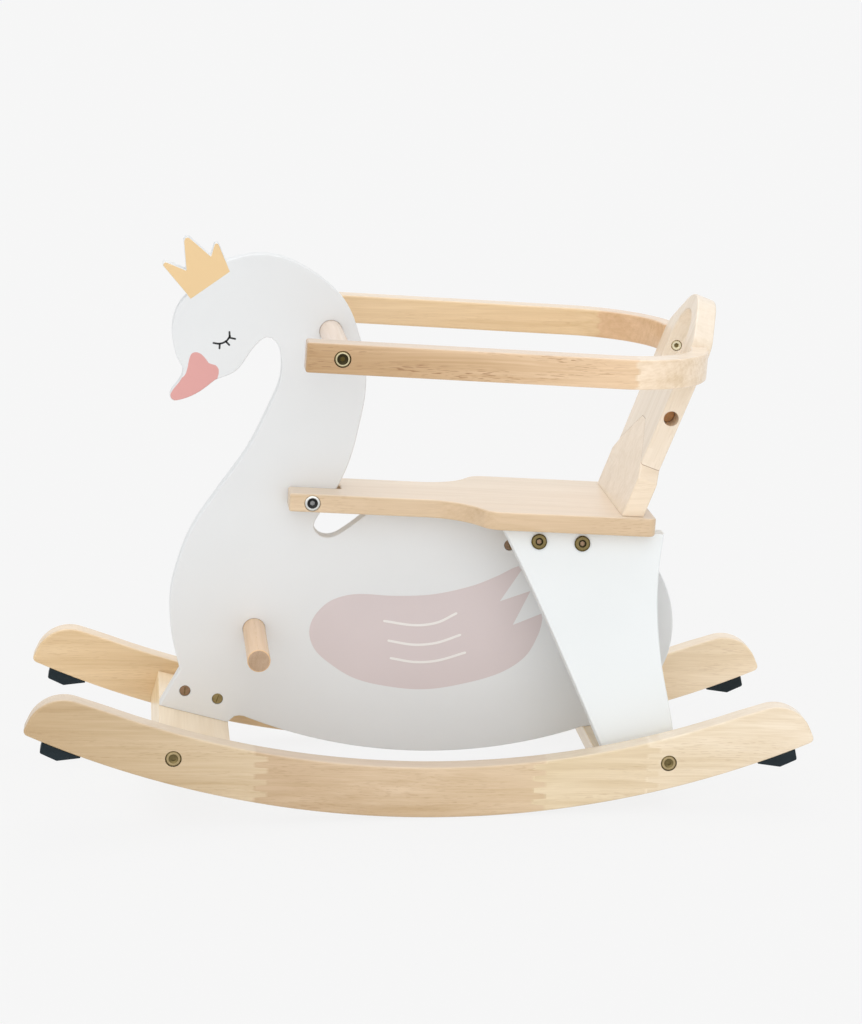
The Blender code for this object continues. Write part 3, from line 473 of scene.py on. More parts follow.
def plane(origin, across, up):
    """The matrix that puts a board's own X and Y along two directions on the level toy."""
    across, up = across.normalized(), up.normalized()
    turn = Matrix((across, up, across.cross(up))).transposed().to_4x4()
    return Matrix.Translation(origin) @ turn


def upright(y=0):
    """The matrix that stands a board along the level toy, with its middle at a place across it."""
    return plane(Vector((0, y, 0)), X_AXIS, Z_AXIS)


def tilted(height, tilt, drop):
    """The matrix that lays a board down with a tilt, its middle a drop below a height at x = 0."""
    turn = Matrix.Rotation(tilt, 3, "Y")
    return plane(Vector((0, 0, height)) - turn @ Z_AXIS * drop, turn @ X_AXIS, Y_AXIS)


def on_axis(point, direction):
    """The matrix that turns Z onto a direction and moves the origin to a point."""
    return Matrix.Translation(point) @ Vector(direction).to_track_quat("Z", "Y").to_matrix().to_4x4()


def arc_point(angle, radius):
    """A point at an angle behind the lowest point of the rocking arc, seen from its centre."""
    return Vector((radius * math.sin(angle), ROCKER_RADIUS - radius * math.cos(angle)))


def arc_height(x, radius=ROCKER_RADIUS):
    return ROCKER_RADIUS - math.sqrt(radius**2 - x**2)


def seat_height(x):
    return SEAT_TOP - x * math.tan(SEAT_TILT)


def rail_height(x):
    return RAIL_TOP - RAIL_HEIGHT / 2 - x * math.tan(RAIL_TILT)


def rocker_outline():
    toe_x = ROCKER_LENGTH / 2 + TOE_ROUND / 2
    toe_angle = math.asin(toe_x / ROCKER_RADIUS)
    count = math.floor((toe_angle - ARC_STEP) / ARC_STEP)
    lower = [arc_point(i * ARC_STEP, ROCKER_RADIUS) for i in range(-count, count + 1)]
    top_radius = ROCKER_RADIUS - ROCKER_DEPTH
    top_angle = math.asin(TOP_ARC_END / top_radius)
    count = round(top_angle / ARC_STEP)
    upper = [arc_point(top_angle * (1 - 2 * i / count), top_radius) for i in range(count + 1)]
    nose_x = toe_x - NOSE_SETBACK
    nose = Vector((nose_x, arc_height(nose_x, top_radius) - NOSE_DROP))
    toe = arc_point(toe_angle, ROCKER_RADIUS)
    front_toe, front_nose = Vector((-toe.x, toe.y)), Vector((-nose.x, nose.y))
    return [
        *lower,
        *corner_arc(lower[-1], toe, nose, TOE_ROUND, 6),
        *corner_arc(toe, nose, upper[0], NOSE_ROUND, 20),
        *upper,
        *corner_arc(upper[-1], front_nose, front_toe, NOSE_ROUND, 20),
        *corner_arc(front_nose, front_toe, lower[0], TOE_ROUND, 6),
    ]


def lean_back():
    """The matrix from the level toy to the frame, found from where the frame's left rocker is."""
    turn = Matrix.Rotation(REST_TILT, 4, "Y")
    turned = [turn @ Vector((x, 0, z)) for x, z in rocker_outline()]
    low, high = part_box("rocker_left")
    xs = [p.x for p in turned]
    shift_x = (low.x + high.x - min(xs) - max(xs)) / 2
    shift_z = low.z - min(p.z for p in turned)
    return Matrix.Translation((shift_x, 0, shift_z)) @ turn


LEAN = lean_back()


def add_piece(name, bm, materials):
    mesh = bpy.data.meshes.new(name)
    bm.to_mesh(mesh)
    bm.free()
    piece = bpy.data.objects.new(name, mesh)
    bpy.context.scene.collection.objects.link(piece)
    for material in materials:
        mesh.materials.append(material)
    return piece


def settle(piece):
    """Applies the piece's modifiers."""
    graph = bpy.context.evaluated_depsgraph_get()
    shaped = piece.evaluated_get(graph)
    mesh = bpy.data.meshes.new_from_object(shaped, preserve_all_data_layers=True, depsgraph=graph)
    old = piece.data
    piece.modifiers.clear()
    piece.data = mesh
    mesh.name = piece.name
    bpy.data.meshes.remove(old)


def carve(piece, cutters, operation="DIFFERENCE"):
    """Cuts the cutters from the piece, or joins them to it, and deletes them."""
    for cutter in cutters:
        modifier = piece.modifiers.new("carve", "BOOLEAN")
        modifier.operation = operation
        modifier.solver = "EXACT"
        modifier.object = cutter
    settle(piece)
    for cutter in cutters:
        bpy.data.objects.remove(cutter)


def round_edges(piece, width, segments=4, material=-1):
    bevel = piece.modifiers.new("rounded edges", "BEVEL")
    bevel.width = width
    bevel.segments = segments
    bevel.material = material
    bevel.limit_method = "ANGLE"
    bevel.angle_limit = ROUNDED_ANGLE
    settle(piece)


def smooth(piece):
    """Shades the rounded edges smooth and keeps the flat faces flat."""
    piece.data.shade_smooth()
    piece.data.set_sharp_from_angle(angle=SHARP_ANGLE)
    weighted = piece.modifiers.new("flat faces", "WEIGHTED_NORMAL")
    weighted.keep_sharp = True
    weighted.weight = 80
    settle(piece)


def slab(name, outline, thickness, spot, materials=()):
    """A flat board whose outline lies in its own XY plane, with its thickness shared out on both sides."""
    bm = bmesh.new()
    bm.faces.new([bm.verts.new((x, y, -thickness / 2)) for x, y in outline])
    extruded = bmesh.ops.extrude_face_region(bm, geom=bm.faces[:])["geom"]
    raised = [v for v in extruded if isinstance(v, bmesh.types.BMVert)]
    bmesh.ops.translate(bm, verts=raised, vec=(0, 0, thickness))
    bmesh.ops.recalc_face_normals(bm, faces=bm.faces)
    bmesh.ops.transform(bm, matrix=LEAN @ spot, verts=bm.verts)
    return add_piece(name, bm, materials)


def rod(name, middle, direction, radius, length, sides=HEAD_SIDES, materials=()):
    """A plain round rod, placed on the frame."""
    bm = bmesh.new()
    bmesh.ops.create_cone(
        bm,
        cap_ends=True,
        segments=sides,
        radius1=radius,
        radius2=radius,
        depth=length,
        matrix=Matrix.Identity(4),
    )
    bmesh.ops.transform(bm, matrix=on_axis(middle, direction), verts=bm.verts)
    return add_piece(name, bm, materials)


def head_seat(node, axis=None):
    """Where a turned fastener sits in the frame: its axis, its head's underside and radius, and its tip.

    The axis is given for a nut, which is short for its width.
    """
    points = np.array([v.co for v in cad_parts[node].data.vertices])
    points = np.unique(points.round(6), axis=0)
    if axis:
        middle, direction = (points.min(0) + points.max(0)) / 2, np.array(axis)
    else:
        middle = points.mean(0)
        direction = np.linalg.svd(points - middle)[2][0]
    along = (points - middle) @ direction
    radius = np.linalg.norm(points - middle - np.outer(along, direction), axis=1)
    widest = radius > radius.max() * WIDEST_SHARE
    if not axis and along[widest].mean() < 0:
        direction, along = -direction, -along
    under = along[widest].min()
    return {
        "out": Vector(direction),
        "under": Vector(middle + direction * under),
        "top": Vector(middle + direction * along.max()),
        "tip": Vector(middle + direction * along.min()),
        "radius": float(radius.max()),
        "shank": float(radius[along < along.min() + TIP_STRETCH].max()),
        "height": float(along.max() - under),
    }


def head_bore(node, play=HEAD_PLAY):
    """A cutter round a fastener's head, from its underside outwards."""
    seat = head_seat(node)
    middle = seat["under"] + seat["out"] * BORE_REACH / 2
    return rod("bore", middle, seat["out"], seat["radius"] + play, BORE_REACH)


def dress(piece, node):
    """Ends a piece that stands for a node of the frame."""
    smooth(piece)
    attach(piece, "root")
    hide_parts(node)


def link(tree, value, socket):
    """Connects a node's output to an input, or sets the input to a plain value."""
    if isinstance(value, bpy.types.NodeSocket):
        tree.links.new(value, socket)
    else:
        socket.default_value = value


def shader_node(tree, kind, **inputs):
    """A new shader node with its inputs set or connected. Underscores stand for spaces in names."""
    node = tree.nodes.new("ShaderNode" + kind)
    for name, value in inputs.items():
        link(tree, value, node.inputs[name.replace("_", " ")])
    return node


def calculate(tree, operation, *values, kind="Math"):
    node = shader_node(tree, kind)
    node.operation = operation
    for value, socket in zip(values, node.inputs):
        link(tree, value, socket)
    return node.outputs[0]


def calculate_vector(tree, operation, first, second):
    return calculate(tree, operation, first, second, kind="VectorMath")


def split_vector(tree, vector):
    return shader_node(tree, "SeparateXYZ", Vector=vector).outputs


def noise_texture(tree, vector, scale=1.0, detail=2.0, roughness=0.5):
    node = shader_node(tree, "TexNoise", Vector=vector, Scale=scale, Detail=detail, Roughness=roughness)
    return node.outputs["Fac"]


def spread(tree, value, low, high, to_low=0.0, to_high=1.0):
    """A value that runs between two limits, read as one that runs between two others."""
    limits = {"From_Min": low, "From_Max": high, "To_Min": to_low, "To_Max": to_high}
    return shader_node(tree, "MapRange", Value=value, **limits).outputs["Result"]


def mix_colors(tree, factor, first, second, blend="MIX"):
    node = shader_node(tree, "Mix")
    node.data_type = "RGBA"
    node.blend_type = blend
    link(tree, factor, node.inputs["Factor"])
    for value, socket in ((first, node.inputs[6]), (second, node.inputs[7])):
        link(tree, (*value, 1.0) if isinstance(value, tuple) else value, socket)
    return node.outputs[2]


def color_ramp(tree, value, stops, interpolation):
    """A colour for each stretch of a value, from stops written as (place, colour)."""
    node = shader_node(tree, "ValToRGB", Fac=value)
    ramp = node.color_ramp
    ramp.interpolation = interpolation
    while len(ramp.elements) < len(stops):
        ramp.elements.new(0.5)
    for element, (place, _) in zip(ramp.elements, stops):
        element.position = place
    for element, (_, color) in zip(ramp.elements, stops):
        element.color = (*color, 1.0)
    return node.outputs["Color"]


def new_material(name):
    material = bpy.data.materials.new(name)
    material.use_nodes = True
    return material, material.node_tree, material.node_tree.nodes["Principled BSDF"]


def linear(red, green, blue):
    """A colour as it is seen on a screen, from 0 to 255, as the light that it stands for."""
    shares = (c / 255 for c in (red, green, blue))
    return tuple(c / 12.92 if c <= 10 / 255 else ((c + 0.055) / 1.055) ** 2.4 for c in shares)


def finish(tree, shader, color, roughness, relief, strength, depth):
    """Connects a material's colour, its roughness and the relief that its bumps are read from."""
    tree.links.new(color, shader.inputs["Base Color"])
    tree.links.new(roughness, shader.inputs["Roughness"])
    bump = shader_node(tree, "Bump", Strength=strength, Distance=depth, Height=relief)
    tree.links.new(bump.outputs["Normal"], shader.inputs["Normal"])


# How the grain's direction is turned onto X before the pattern is read.
ALONG_TOY = (0, -REST_TILT, 0)
ALONG_BACKREST = (0, math.pi / 2 - BACK_LEAN - REST_TILT, 0)
ALONG_BARS = (0, 0, -math.pi / 2)
LAMELLA_REACH = 0.4  # how far from the toy's middle the lamellas are laid
FINGER_PITCH = 0.0058
ROCKER_FINGER = 0.012
RAIL_FINGER = 0.003
JOINT_WIDTH = 0.0002
# Painted sheen: wood faces that look up are mixed towards this pale colour, by up to this share.
PAINTED_SHEEN_COLOR = (0.87, 0.78, 0.68)
PAINTED_SHEEN_SHARE = 0.42
# Painted highlight: painted faces that look up are lightened towards white by this share.
PAINTED_HIGHLIGHT_SHARE = 0.12
PITH = (0.0, 0.055, -0.075)
OWN_SHIFT = (3.0, 3.0, 0.4)  # how far a lamella's own number moves its grain
GRAIN_SWAY = 0.016
LIGHT_GRAIN = (1.10, 1.10, 1.12)
DARK_GRAIN = (0.15, 0.21, 0.31)
PORE_SHADE = (0.50, 0.36, 0.24)
GRAIN_LAYERS = (
    # how finely a layer is read along the grain and across it, its detail, and the limits of what is used
    (3.0, 55.0, 2.0, 0.34, 0.68),  # broad streaks
    (8.0, 210.0, 2.0, 0.32, 0.70),  # medium streaks
    (24.0, 800.0, 1.0, 0.3, 0.7),  # fine streaks
    (110.0, 1300.0, 0.0, 0.60, 0.70),  # pores
    (8.0, 60.0, 1.0, 0.42, 0.62),  # where pores crowd
)


def rubberwood(
    name,
    lamellas,
    grain=ALONG_TOY,
    finger=ROCKER_FINGER,
    pores=0.5,
    figure=1.0,
    across=False,
    sheen=PAINTED_SHEEN_SHARE,
):
    """Lacquered rubberwood, with a painted sheen that pales the faces which look up. Each lamella is
    written as where it starts along the grain, and its colours there and at its end. Lamellas meet in
    finger joints, or in straight seams where they lie across."""
    material, tree, shader = new_material(name)
    coordinates = shader_node(tree, "TexCoord").outputs
    point = shader_node(tree, "Mapping", Vector=coordinates["Object"], Rotation=grain).outputs["Vector"]
    split = split_vector(tree, point)
    if across:
        place = split["Y"]
    else:
        wave = calculate(tree, "PINGPONG", split["Z"], FINGER_PITCH)
        shift = spread(tree, wave, 0.42 * FINGER_PITCH, 0.58 * FINGER_PITCH, 0.0, finger)
        place = calculate(tree, "ADD", split["X"], shift)
    share = spread(tree, place, -LAMELLA_REACH, LAMELLA_REACH)
    base_stops, own_stops = lamella_stops(lamellas)
    base = color_ramp(tree, share, base_stops, "LINEAR")
    shifted = calculate_vector(tree, "MULTIPLY", color_ramp(tree, share, own_stops, "CONSTANT"), OWN_SHIFT)
    own = calculate_vector(tree, "ADD", point, shifted)

    def layer(along, over, detail, low, high):
        stretched = calculate_vector(tree, "MULTIPLY", own, (along, over, over))
        return spread(tree, noise_texture(tree, stretched, detail=detail), low, high)

    drift = calculate_vector(tree, "MULTIPLY", own, (3.0, 12.0, 12.0))
    sway = spread(tree, noise_texture(tree, drift, detail=1.0), 0.0, 1.0, -GRAIN_SWAY, GRAIN_SWAY)
    own = calculate_vector(tree, "ADD", own, shader_node(tree, "CombineXYZ", Y=sway, Z=sway).outputs[0])
    broad, medium, fine, pore, crowd = (layer(*numbers) for numbers in GRAIN_LAYERS)
    weight = calculate(tree, "MULTIPLY", broad, 0.38)
    for part, strength in ((growth_rings(tree, own), 0.10), (medium, 0.32), (fine, 0.22)):
        weight = calculate(tree, "MULTIPLY_ADD", part, strength, weight)
    light = mix_colors(tree, 1.0, base, LIGHT_GRAIN, "MULTIPLY")
    dark = mix_colors(tree, 1.0, base, tuple(1 - figure * part for part in DARK_GRAIN), "MULTIPLY")
    wood = mix_colors(tree, weight, light, dark)
    facing = split_vector(tree, coordinates["Normal"])
    lengthwise = spread(tree, calculate(tree, "ABSOLUTE", facing["X"]), 0.02, 0.15, 1.0, 0.0)
    holes = calculate(tree, "MULTIPLY", pore, calculate(tree, "MULTIPLY", crowd, lengthwise))
    fleck = mix_colors(tree, 1.0, base, PORE_SHADE, "MULTIPLY")
    wood = mix_colors(tree, calculate(tree, "MULTIPLY", holes, 0.45 * pores), wood, fleck)
    # Painted sheen: the faces that look up are mixed towards a pale colour.
    wood = mix_colors(tree, spread(tree, facing["Z"], 0.45, 1.0, 0.0, sheen), wood, PAINTED_SHEEN_COLOR)
    rough = calculate(tree, "MULTIPLY_ADD", holes, 0.2, spread(tree, medium, 0.0, 1.0, 0.40, 0.50))
    relief = calculate(tree, "MULTIPLY_ADD", holes, -1.0, calculate(tree, "MULTIPLY", fine, 0.25))
    finish(tree, shader, wood, rough, relief, 0.15, 0.0003)
    shader.inputs["Coat Weight"].default_value = 0.6
    shader.inputs["Coat Roughness"].default_value = 0.22
    return material


def lamella_stops(lamellas):
    """The ramp stops of the lamellas' colours, and of a number for each that gives it a grain of its own."""
    starts = [max(0.0, (start + LAMELLA_REACH) / (2 * LAMELLA_REACH)) for start, _, _ in lamellas]
    colors, owns = [], []
    for i, (_, first, last) in enumerate(lamellas):
        end = starts[i + 1] if i + 1 < len(starts) else 1.0
        colors += [(starts[i], linear(*first)), (end - JOINT_WIDTH, linear(*last))]
        owns.append((starts[i], ((i * 0.37 + 0.11) % 1,) * 3))
    return colors, owns


def growth_rings(tree, own):
    """Growth rings round a pith beside the board: lines along its faces and arcs on its ends."""
    placed = calculate_vector(tree, "ADD", own, PITH)
    slender = calculate_vector(tree, "MULTIPLY", placed, (0.10, 1.0, 1.0))
    ripple = {"Scale": 75.0, "Distortion": 5.0, "Detail": 2.0, "Detail_Scale": 0.35}
    node = shader_node(tree, "TexWave", Vector=slender, **ripple)
    node.wave_type = "RINGS"
    node.rings_direction = "X"
    node.wave_profile = "SIN"
    return node.outputs["Fac"]


def paint(name, color, roughness, mottle):
    """Satin paint: a faint mottle, a fine orange peel and a sheen that varies a little. Faces that look up
    get a painted highlight.
    """
    material, tree, shader = new_material(name)
    coordinates = shader_node(tree, "TexCoord").outputs
    cloud = noise_texture(tree, coordinates["Object"], 7.0, 3.0)
    peel = noise_texture(tree, coordinates["Object"], 650.0, 1.0)
    low = tuple(c * (1 - mottle) for c in color)
    high = tuple(min(1.0, c * (1 + mottle)) for c in color)
    bright = tuple(c + (1 - c) * PAINTED_HIGHLIGHT_SHARE for c in color)
    coat = mix_colors(tree, spread(tree, cloud, 0.3, 0.7), low, high)
    facing = split_vector(tree, coordinates["Normal"])
    # Painted highlight: faces that look up are lightened towards white.
    coat = mix_colors(tree, spread(tree, facing["Z"], 0.3, 0.9), coat, bright)
    rough = spread(tree, cloud, 0.3, 0.7, roughness - 0.04, roughness + 0.04)
    finish(tree, shader, coat, rough, peel, 0.06, 0.0002)
    return material


def metal(name, color, roughness, shade):
    """Plated steel with a clouded plating and faint turning marks."""
    material, tree, shader = new_material(name)
    point = shader_node(tree, "TexCoord").outputs["Object"]
    cloud = noise_texture(tree, point, 380.0, 3.0, 0.6)
    scratch = noise_texture(tree, point, 2600.0, 2.0)
    dull = tuple(c * (1 - shade) for c in color)
    plating = mix_colors(tree, spread(tree, cloud, 0.35, 0.65), dull, color)
    rough = spread(tree, cloud, 0.3, 0.7, roughness - 0.06, roughness + 0.1)
    finish(tree, shader, plating, rough, scratch, 0.08, 0.0001)
    shader.inputs["Metallic"].default_value = 1.0
    return material


def rubber(name, color):
    """Moulded black rubber with a fine grain."""
    material, tree, shader = new_material(name)
    shader.inputs["Specular IOR Level"].default_value = 0.25
    point = shader_node(tree, "TexCoord").outputs["Object"]
    grain = noise_texture(tree, point, 900.0, 3.0, 0.6)
    cloud = noise_texture(tree, point, 45.0, 2.0)
    worn = mix_colors(tree, spread(tree, cloud, 0.35, 0.75), color, tuple(c * 1.5 for c in color))
    finish(tree, shader, worn, spread(tree, grain, 0.3, 0.7, 0.62, 0.82), grain, 0.2, 0.0004)
    return material


def one_board(*color):
    """The lamellas of a board that is one piece of wood."""
    return ((-LAMELLA_REACH, color, color),)


# Boards: their lamellas, and what differs from a plain board.
BOARDS = {
    # The near rocker's lamellas grow lighter towards the rear: partly the wood's own tone, partly painted
    # light.
    "rocker_left": (
        (
            (-LAMELLA_REACH, (196, 168, 127), (218, 198, 166)),
            (-0.150, (206, 180, 147), (227, 205, 174)),
            (0.115, (232, 215, 183), (230, 212, 181)),
            (0.225, (240, 225, 199), (244, 230, 208)),
        ),
        {"figure": 1.3},
    ),
    "rocker_right": (
        (
            (-LAMELLA_REACH, (232, 205, 164), (228, 200, 158)),
            (-0.06, (224, 198, 159), (226, 200, 161)),
            (0.150, (243, 223, 192), (246, 228, 200)),
        ),
        {"figure": 1.2},
    ),
    # The near rail's first lamella runs from dark to light towards the rear: partly its own tone, partly
    # painted light.
    "rail_left": (
        (
            (-0.125, (196, 162, 120), (238, 208, 172)),
            (0.1765, (246, 226, 200), (252, 236, 214)),
        ),
        {"finger": RAIL_FINGER, "pores": 2.0, "figure": 1.5},
    ),
    # The far rail's lamella at its bend is darker: partly its own tone, partly painted shade where it turns
    # from the light.
    "rail_right": (
        (
            (-LAMELLA_REACH, (237, 210, 170), (234, 206, 164)),
            (0.190, (228, 192, 152), (232, 198, 160)),
        ),
        {"finger": RAIL_FINGER, "figure": 1.2},
    ),
    "seat": (
        (
            (-LAMELLA_REACH, (218, 192, 158), (218, 192, 158)),
            (-0.043, (222, 198, 166), (222, 198, 166)),
            (0.021, (227, 206, 177), (227, 206, 177)),
        ),
        {"across": True, "figure": 0.8},
    ),
    "backrest": (one_board(241, 227, 207), {"grain": ALONG_BACKREST, "pores": 0.3, "figure": 0.6}),
    "backrest_foot": (one_board(243, 226, 202), {"pores": 0.3, "figure": 0.6}),
    "hand_bar": (one_board(230, 209, 190), {"grain": ALONG_BARS, "sheen": 0.2}),
    "foot_bar": (one_board(226, 187, 141), {"grain": ALONG_BARS, "sheen": 0.15}),
    "bar_ends": (one_board(180, 152, 124), {"grain": ALONG_BARS, "figure": 1.2}),
    "blocks": (one_board(248, 227, 188), {"grain": ALONG_BARS}),
    "bearers": (one_board(214, 190, 154), {}),
}
# Paints: their material's name, colour, roughness and mottle.
PAINTS = {
    "white": ("white_paint", (229, 231, 232), 0.42, 0.018),
    # The legs' white is the panel's white painted lighter: painted light for the light their upturned faces
    # catch.
    "leg white painted lighter": ("white_paint_legs", (236, 240, 241), 0.42, 0.018),
    "crown_paint": ("crown_paint", (234, 202, 152), 0.5, 0.03),
    "beak_paint": ("beak_paint", (222, 163, 158), 0.5, 0.03),
    "wing": ("wing_print", (216, 204, 204), 0.5, 0.03),
    "feather": ("feather_print", (238, 235, 232), 0.5, 0.02),
    "eye": ("eye_print", (36, 38, 40), 0.5, 0.1),
    "seam": ("glued_seam", (170, 126, 88), 0.6, 0.1),
}
# Platings: their material's name, colour, roughness, and how much darker their clouds are.
METALS = {
    "bronze": ("bronzed_steel", (122, 108, 72), 0.36, 0.25),
    "dark bronze": ("dark_bronze", (96, 84, 46), 0.42, 0.25),
    "nut": ("khaki_bronze", (158, 144, 104), 0.42, 0.25),
    # Lighter copies of the bronze for the bolts' rings and the rail end bolts' heads: painted highlights.
    "brass": ("worn_bronze", (214, 202, 165), 0.28, 0.15),
    "dull brass": ("dull_brass", (184, 164, 124), 0.34, 0.2),
    "pale brass": ("pale_brass", (240, 232, 202), 0.30, 0.10),
    "brown bronze": ("brown_bronze", (158, 132, 108), 0.5, 0.25),
    "copper": ("brown_copper", (226, 180, 132), 0.6, 0.25),
    # A darker copy of the bronze for the bolts' dishes and sockets: painted shade.
    "socket": ("socket_bronze", (66, 60, 40), 0.5, 0.25),
    "nickel": ("nickel_rim", (226, 226, 222), 0.22, 0.12),
    "grey steel": ("grey_steel", (150, 150, 150), 0.4, 0.25),
    "black steel": ("blackened_steel", (52, 52, 52), 0.42, 0.25),
}


def make_finishes():
    finishes = {}
    for name, (lamellas, differences) in BOARDS.items():
        finishes[name] = rubberwood("rubberwood_" + name, lamellas, **differences)
    for name, (material, color, *numbers) in PAINTS.items():
        finishes[name] = paint(material, linear(*color), *numbers)
    finishes["rubber"] = rubber("black_rubber", linear(24, 34, 39))
    for name, (material, color, *numbers) in METALS.items():
        finishes[name] = metal(material, linear(*color), *numbers)
    return finishes


def make_rockers(finishes):
    for side, sign in SIDES:
        node = "rocker_" + side
        spot = upright(sign * ROCKER_MIDDLE)
        rocker = slab("rocker_board_" + side, rocker_outline(), ROCKER_THICKNESS, spot, [finishes[node]])
        round_edges(rocker, BOARD_ROUND)
        carve(rocker, [head_bore(f"rocker_bolt_{end}_{side}") for end, _ in ENDS])
        dress(rocker, node)


def stop_outline(sign):
    top_outer = STOP_OUTER - STOP_CHAMFER
    gap = SEAT_GAP / 2
    corners = [
        (STOP_INNER, arc_height(STOP_INNER) - gap, 0),
        (top_outer, arc_height(top_outer) - gap, 0),
        (STOP_OUTER, arc_height(STOP_OUTER) - STOP_DEPTH_OUTER, STOP_ROUND),
        (STOP_LOW, arc_height(STOP_LOW) - STOP_DEPTH_LOW, STOP_ROUND),
        (STOP_INNER, arc_height(STOP_INNER) - STOP_DEPTH_INNER, 0),
    ]
    return [Vector((sign * x, y)) for x, y in rounded(corners, 6)]


def make_stops(finishes):
    for end, along in ENDS:
        for side, sign in SIDES:
            name = f"{end}_{side}"
            outline, spot = stop_outline(along), upright(sign * ROCKER_MIDDLE)
            stop = slab("rubber_stop_" + name, outline, STOP_THICKNESS, spot, [finishes["rubber"]])
            round_edges(stop, STOP_EDGE, 3)
            carve(stop, [head_bore("stop_screw_" + name, PLAY)])
            dress(stop, "stop_" + name)


def block_frame(end):
    """A cross block's middle, its direction along the rocker and the way its top faces."""
    angle = BLOCK_ANGLES[end]
    middle = arc_point(angle, ROCKER_RADIUS - BLOCK_RISE)
    return (
        Vector((middle.x, 0, middle.y)),
        Vector((math.cos(angle), 0, math.sin(angle))),
        Vector((-math.sin(angle), 0, math.cos(angle))),
    )


def make_blocks(finishes):
    length = ROCKER_SPREAD - 2 * ROCKER_THICKNESS - 2 * SEAT_GAP
    outline = rectangle(-BLOCK_WIDTH / 2, BLOCK_WIDTH / 2, -BLOCK_HEIGHT / 2, BLOCK_HEIGHT / 2)
    for end, _ in ENDS:
        middle, along, up = block_frame(end)
        block = slab("cross_block_" + end, outline, length, plane(middle, along, up), [finishes["blocks"]])
        round_edges(block, BOARD_ROUND / 2)
        heads = [f"panel_bolt_{end}_{row}" for row in ROWS]
        if end == "rear":
            heads += ["leg_foot_bolt_" + side for side, _ in SIDES]
        cutters = [head_bore(head) for head in heads]
        down = (LEAN.to_3x3() @ -up).normalized()
        for side, _ in SIDES:
            low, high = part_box(f"rocker_nut_{end}_{side}")
            centre = (low + high) / 2 + down * BLOCK_HEIGHT / 2
            cutters.append(rod("bore", centre, down, (high.y - low.y) / 2 + PLAY, BLOCK_HEIGHT))
        carve(block, cutters)
        dress(block, end + "_cross_block")


def belly_arc():
    """The arc under the swan's belly, from its rear foot to its front foot."""
    start = math.asin((BELLY_REAR - BELLY_X) / BELLY_RADIUS)
    end = math.asin((BELLY_FRONT - BELLY_X) / BELLY_RADIUS)
    count = round((start - end) * BELLY_RADIUS / CURVE_STEP)
    arc = []
    for i in range(count + 1):
        angle = start + (end - start) * i / count
        x = BELLY_X + BELLY_RADIUS * math.sin(angle)
        arc.append((x, BELLY_HEIGHT + BELLY_RADIUS * (1 - math.cos(angle))))
    return arc


def panel_outline():
    stretches = [
        FOOT_FRONT,
        smooth_curve(CHEST),
        smooth_curve(BEAK),
        smooth_curve(FACE),
        CROWN_FRONT,
        CROWN_FRONT_TIP,
        CROWN_MIDDLE,
        CROWN_REAR,
        smooth_curve(NAPE),
        smooth_curve(TAIL),
        FOOT_REAR,
        belly_arc(),
        HEEL,
    ]
    return joined(stretches)[::-1]


def seat_trimmer(depth):
    """A cutter of the seat's own thickness and place, or deeper, that trims what stands under it."""
    half = ROCKER_SPREAD / 2
    outline = rectangle(SLOT_END - SEAT_GAP, SEAT_REAR + TRIM_REACH, -half, half)
    height = depth + SEAT_GAP
    return slab("trim", outline, height, tilted(SEAT_TOP, SEAT_TILT, height / 2 - SEAT_GAP))


def block_trimmer(end):
    """A cutter that trims a foot to a cross block's top."""
    middle, along, up = block_frame(end)
    outward = dict(ENDS)[end]
    outline = rectangle(-outward * (BLOCK_WIDTH / 2 + SEAT_GAP), outward * BLOCK_WIDTH, -TRIM_DEPTH, 0)
    top = middle + up * (BLOCK_HEIGHT / 2 + SEAT_GAP)
    return slab("trim", outline, ROCKER_SPREAD, plane(top, along, up))


def panel_board(name, materials):
    """The swan's whole board with its rounded edges, before it is trimmed and drilled."""
    board = slab(name, panel_outline(), PANEL_THICKNESS, upright(), materials)
    round_edges(board, PAINTED_ROUND)
    return board


def make_panel(finishes):
    panel = panel_board("swan_board", [finishes["white"]])
    cutters = [seat_trimmer(SEAT_THICKNESS + SEAT_GAP), block_trimmer("front"), block_trimmer("rear")]
    for bar in BARS:
        low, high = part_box(bar)
        radius = BAR_RADIUS + PLAY
        cutters.append(rod("bore", (low + high) / 2, Y_AXIS, radius, 2 * PANEL_THICKNESS, BAR_SIDES))
    for nut in (*(f"panel_nut_{end}_{row}" for end, _ in ENDS for row in ROWS), "seat_nut"):
        low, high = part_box(nut)
        mouth = Vector(((low.x + high.x) / 2, low.y, (low.z + high.z) / 2))
        cutters.append(rod("bore", mouth, Y_AXIS, (high.z - low.z) / 2 + PLAY, PANEL_NUT_BORE))
    carve(panel, cutters)
    dress(panel, "swan_panel")


def make_legs(finishes):
    edge = [*smooth_curve(LEG_FRONT_EDGE), *smooth_curve(LEG_REAR_EDGE)]
    outline = [Vector((x, (z - LEG_TOP_HEIGHT) / math.cos(LEG_SPLAY))) for x, z in edge]
    for side, sign in SIDES:
        up = Vector((0, -sign * math.sin(LEG_SPLAY), math.cos(LEG_SPLAY)))
        out = Vector((0, sign * math.cos(LEG_SPLAY), math.sin(LEG_SPLAY)))
        middle = Vector((0, sign * LEG_TOP_Y, LEG_TOP_HEIGHT)) - out * LEG_THICKNESS / 2
        spot = plane(middle, X_AXIS, up)
        leg = slab("leg_board_" + side, outline, LEG_THICKNESS, spot, [finishes["leg white painted lighter"]])
        round_edges(leg, PAINTED_ROUND)
        carve(leg, [seat_trimmer(SEAT_THICKNESS + SEAT_GAP), block_trimmer("rear")])
        dress(leg, "leg_" + side)


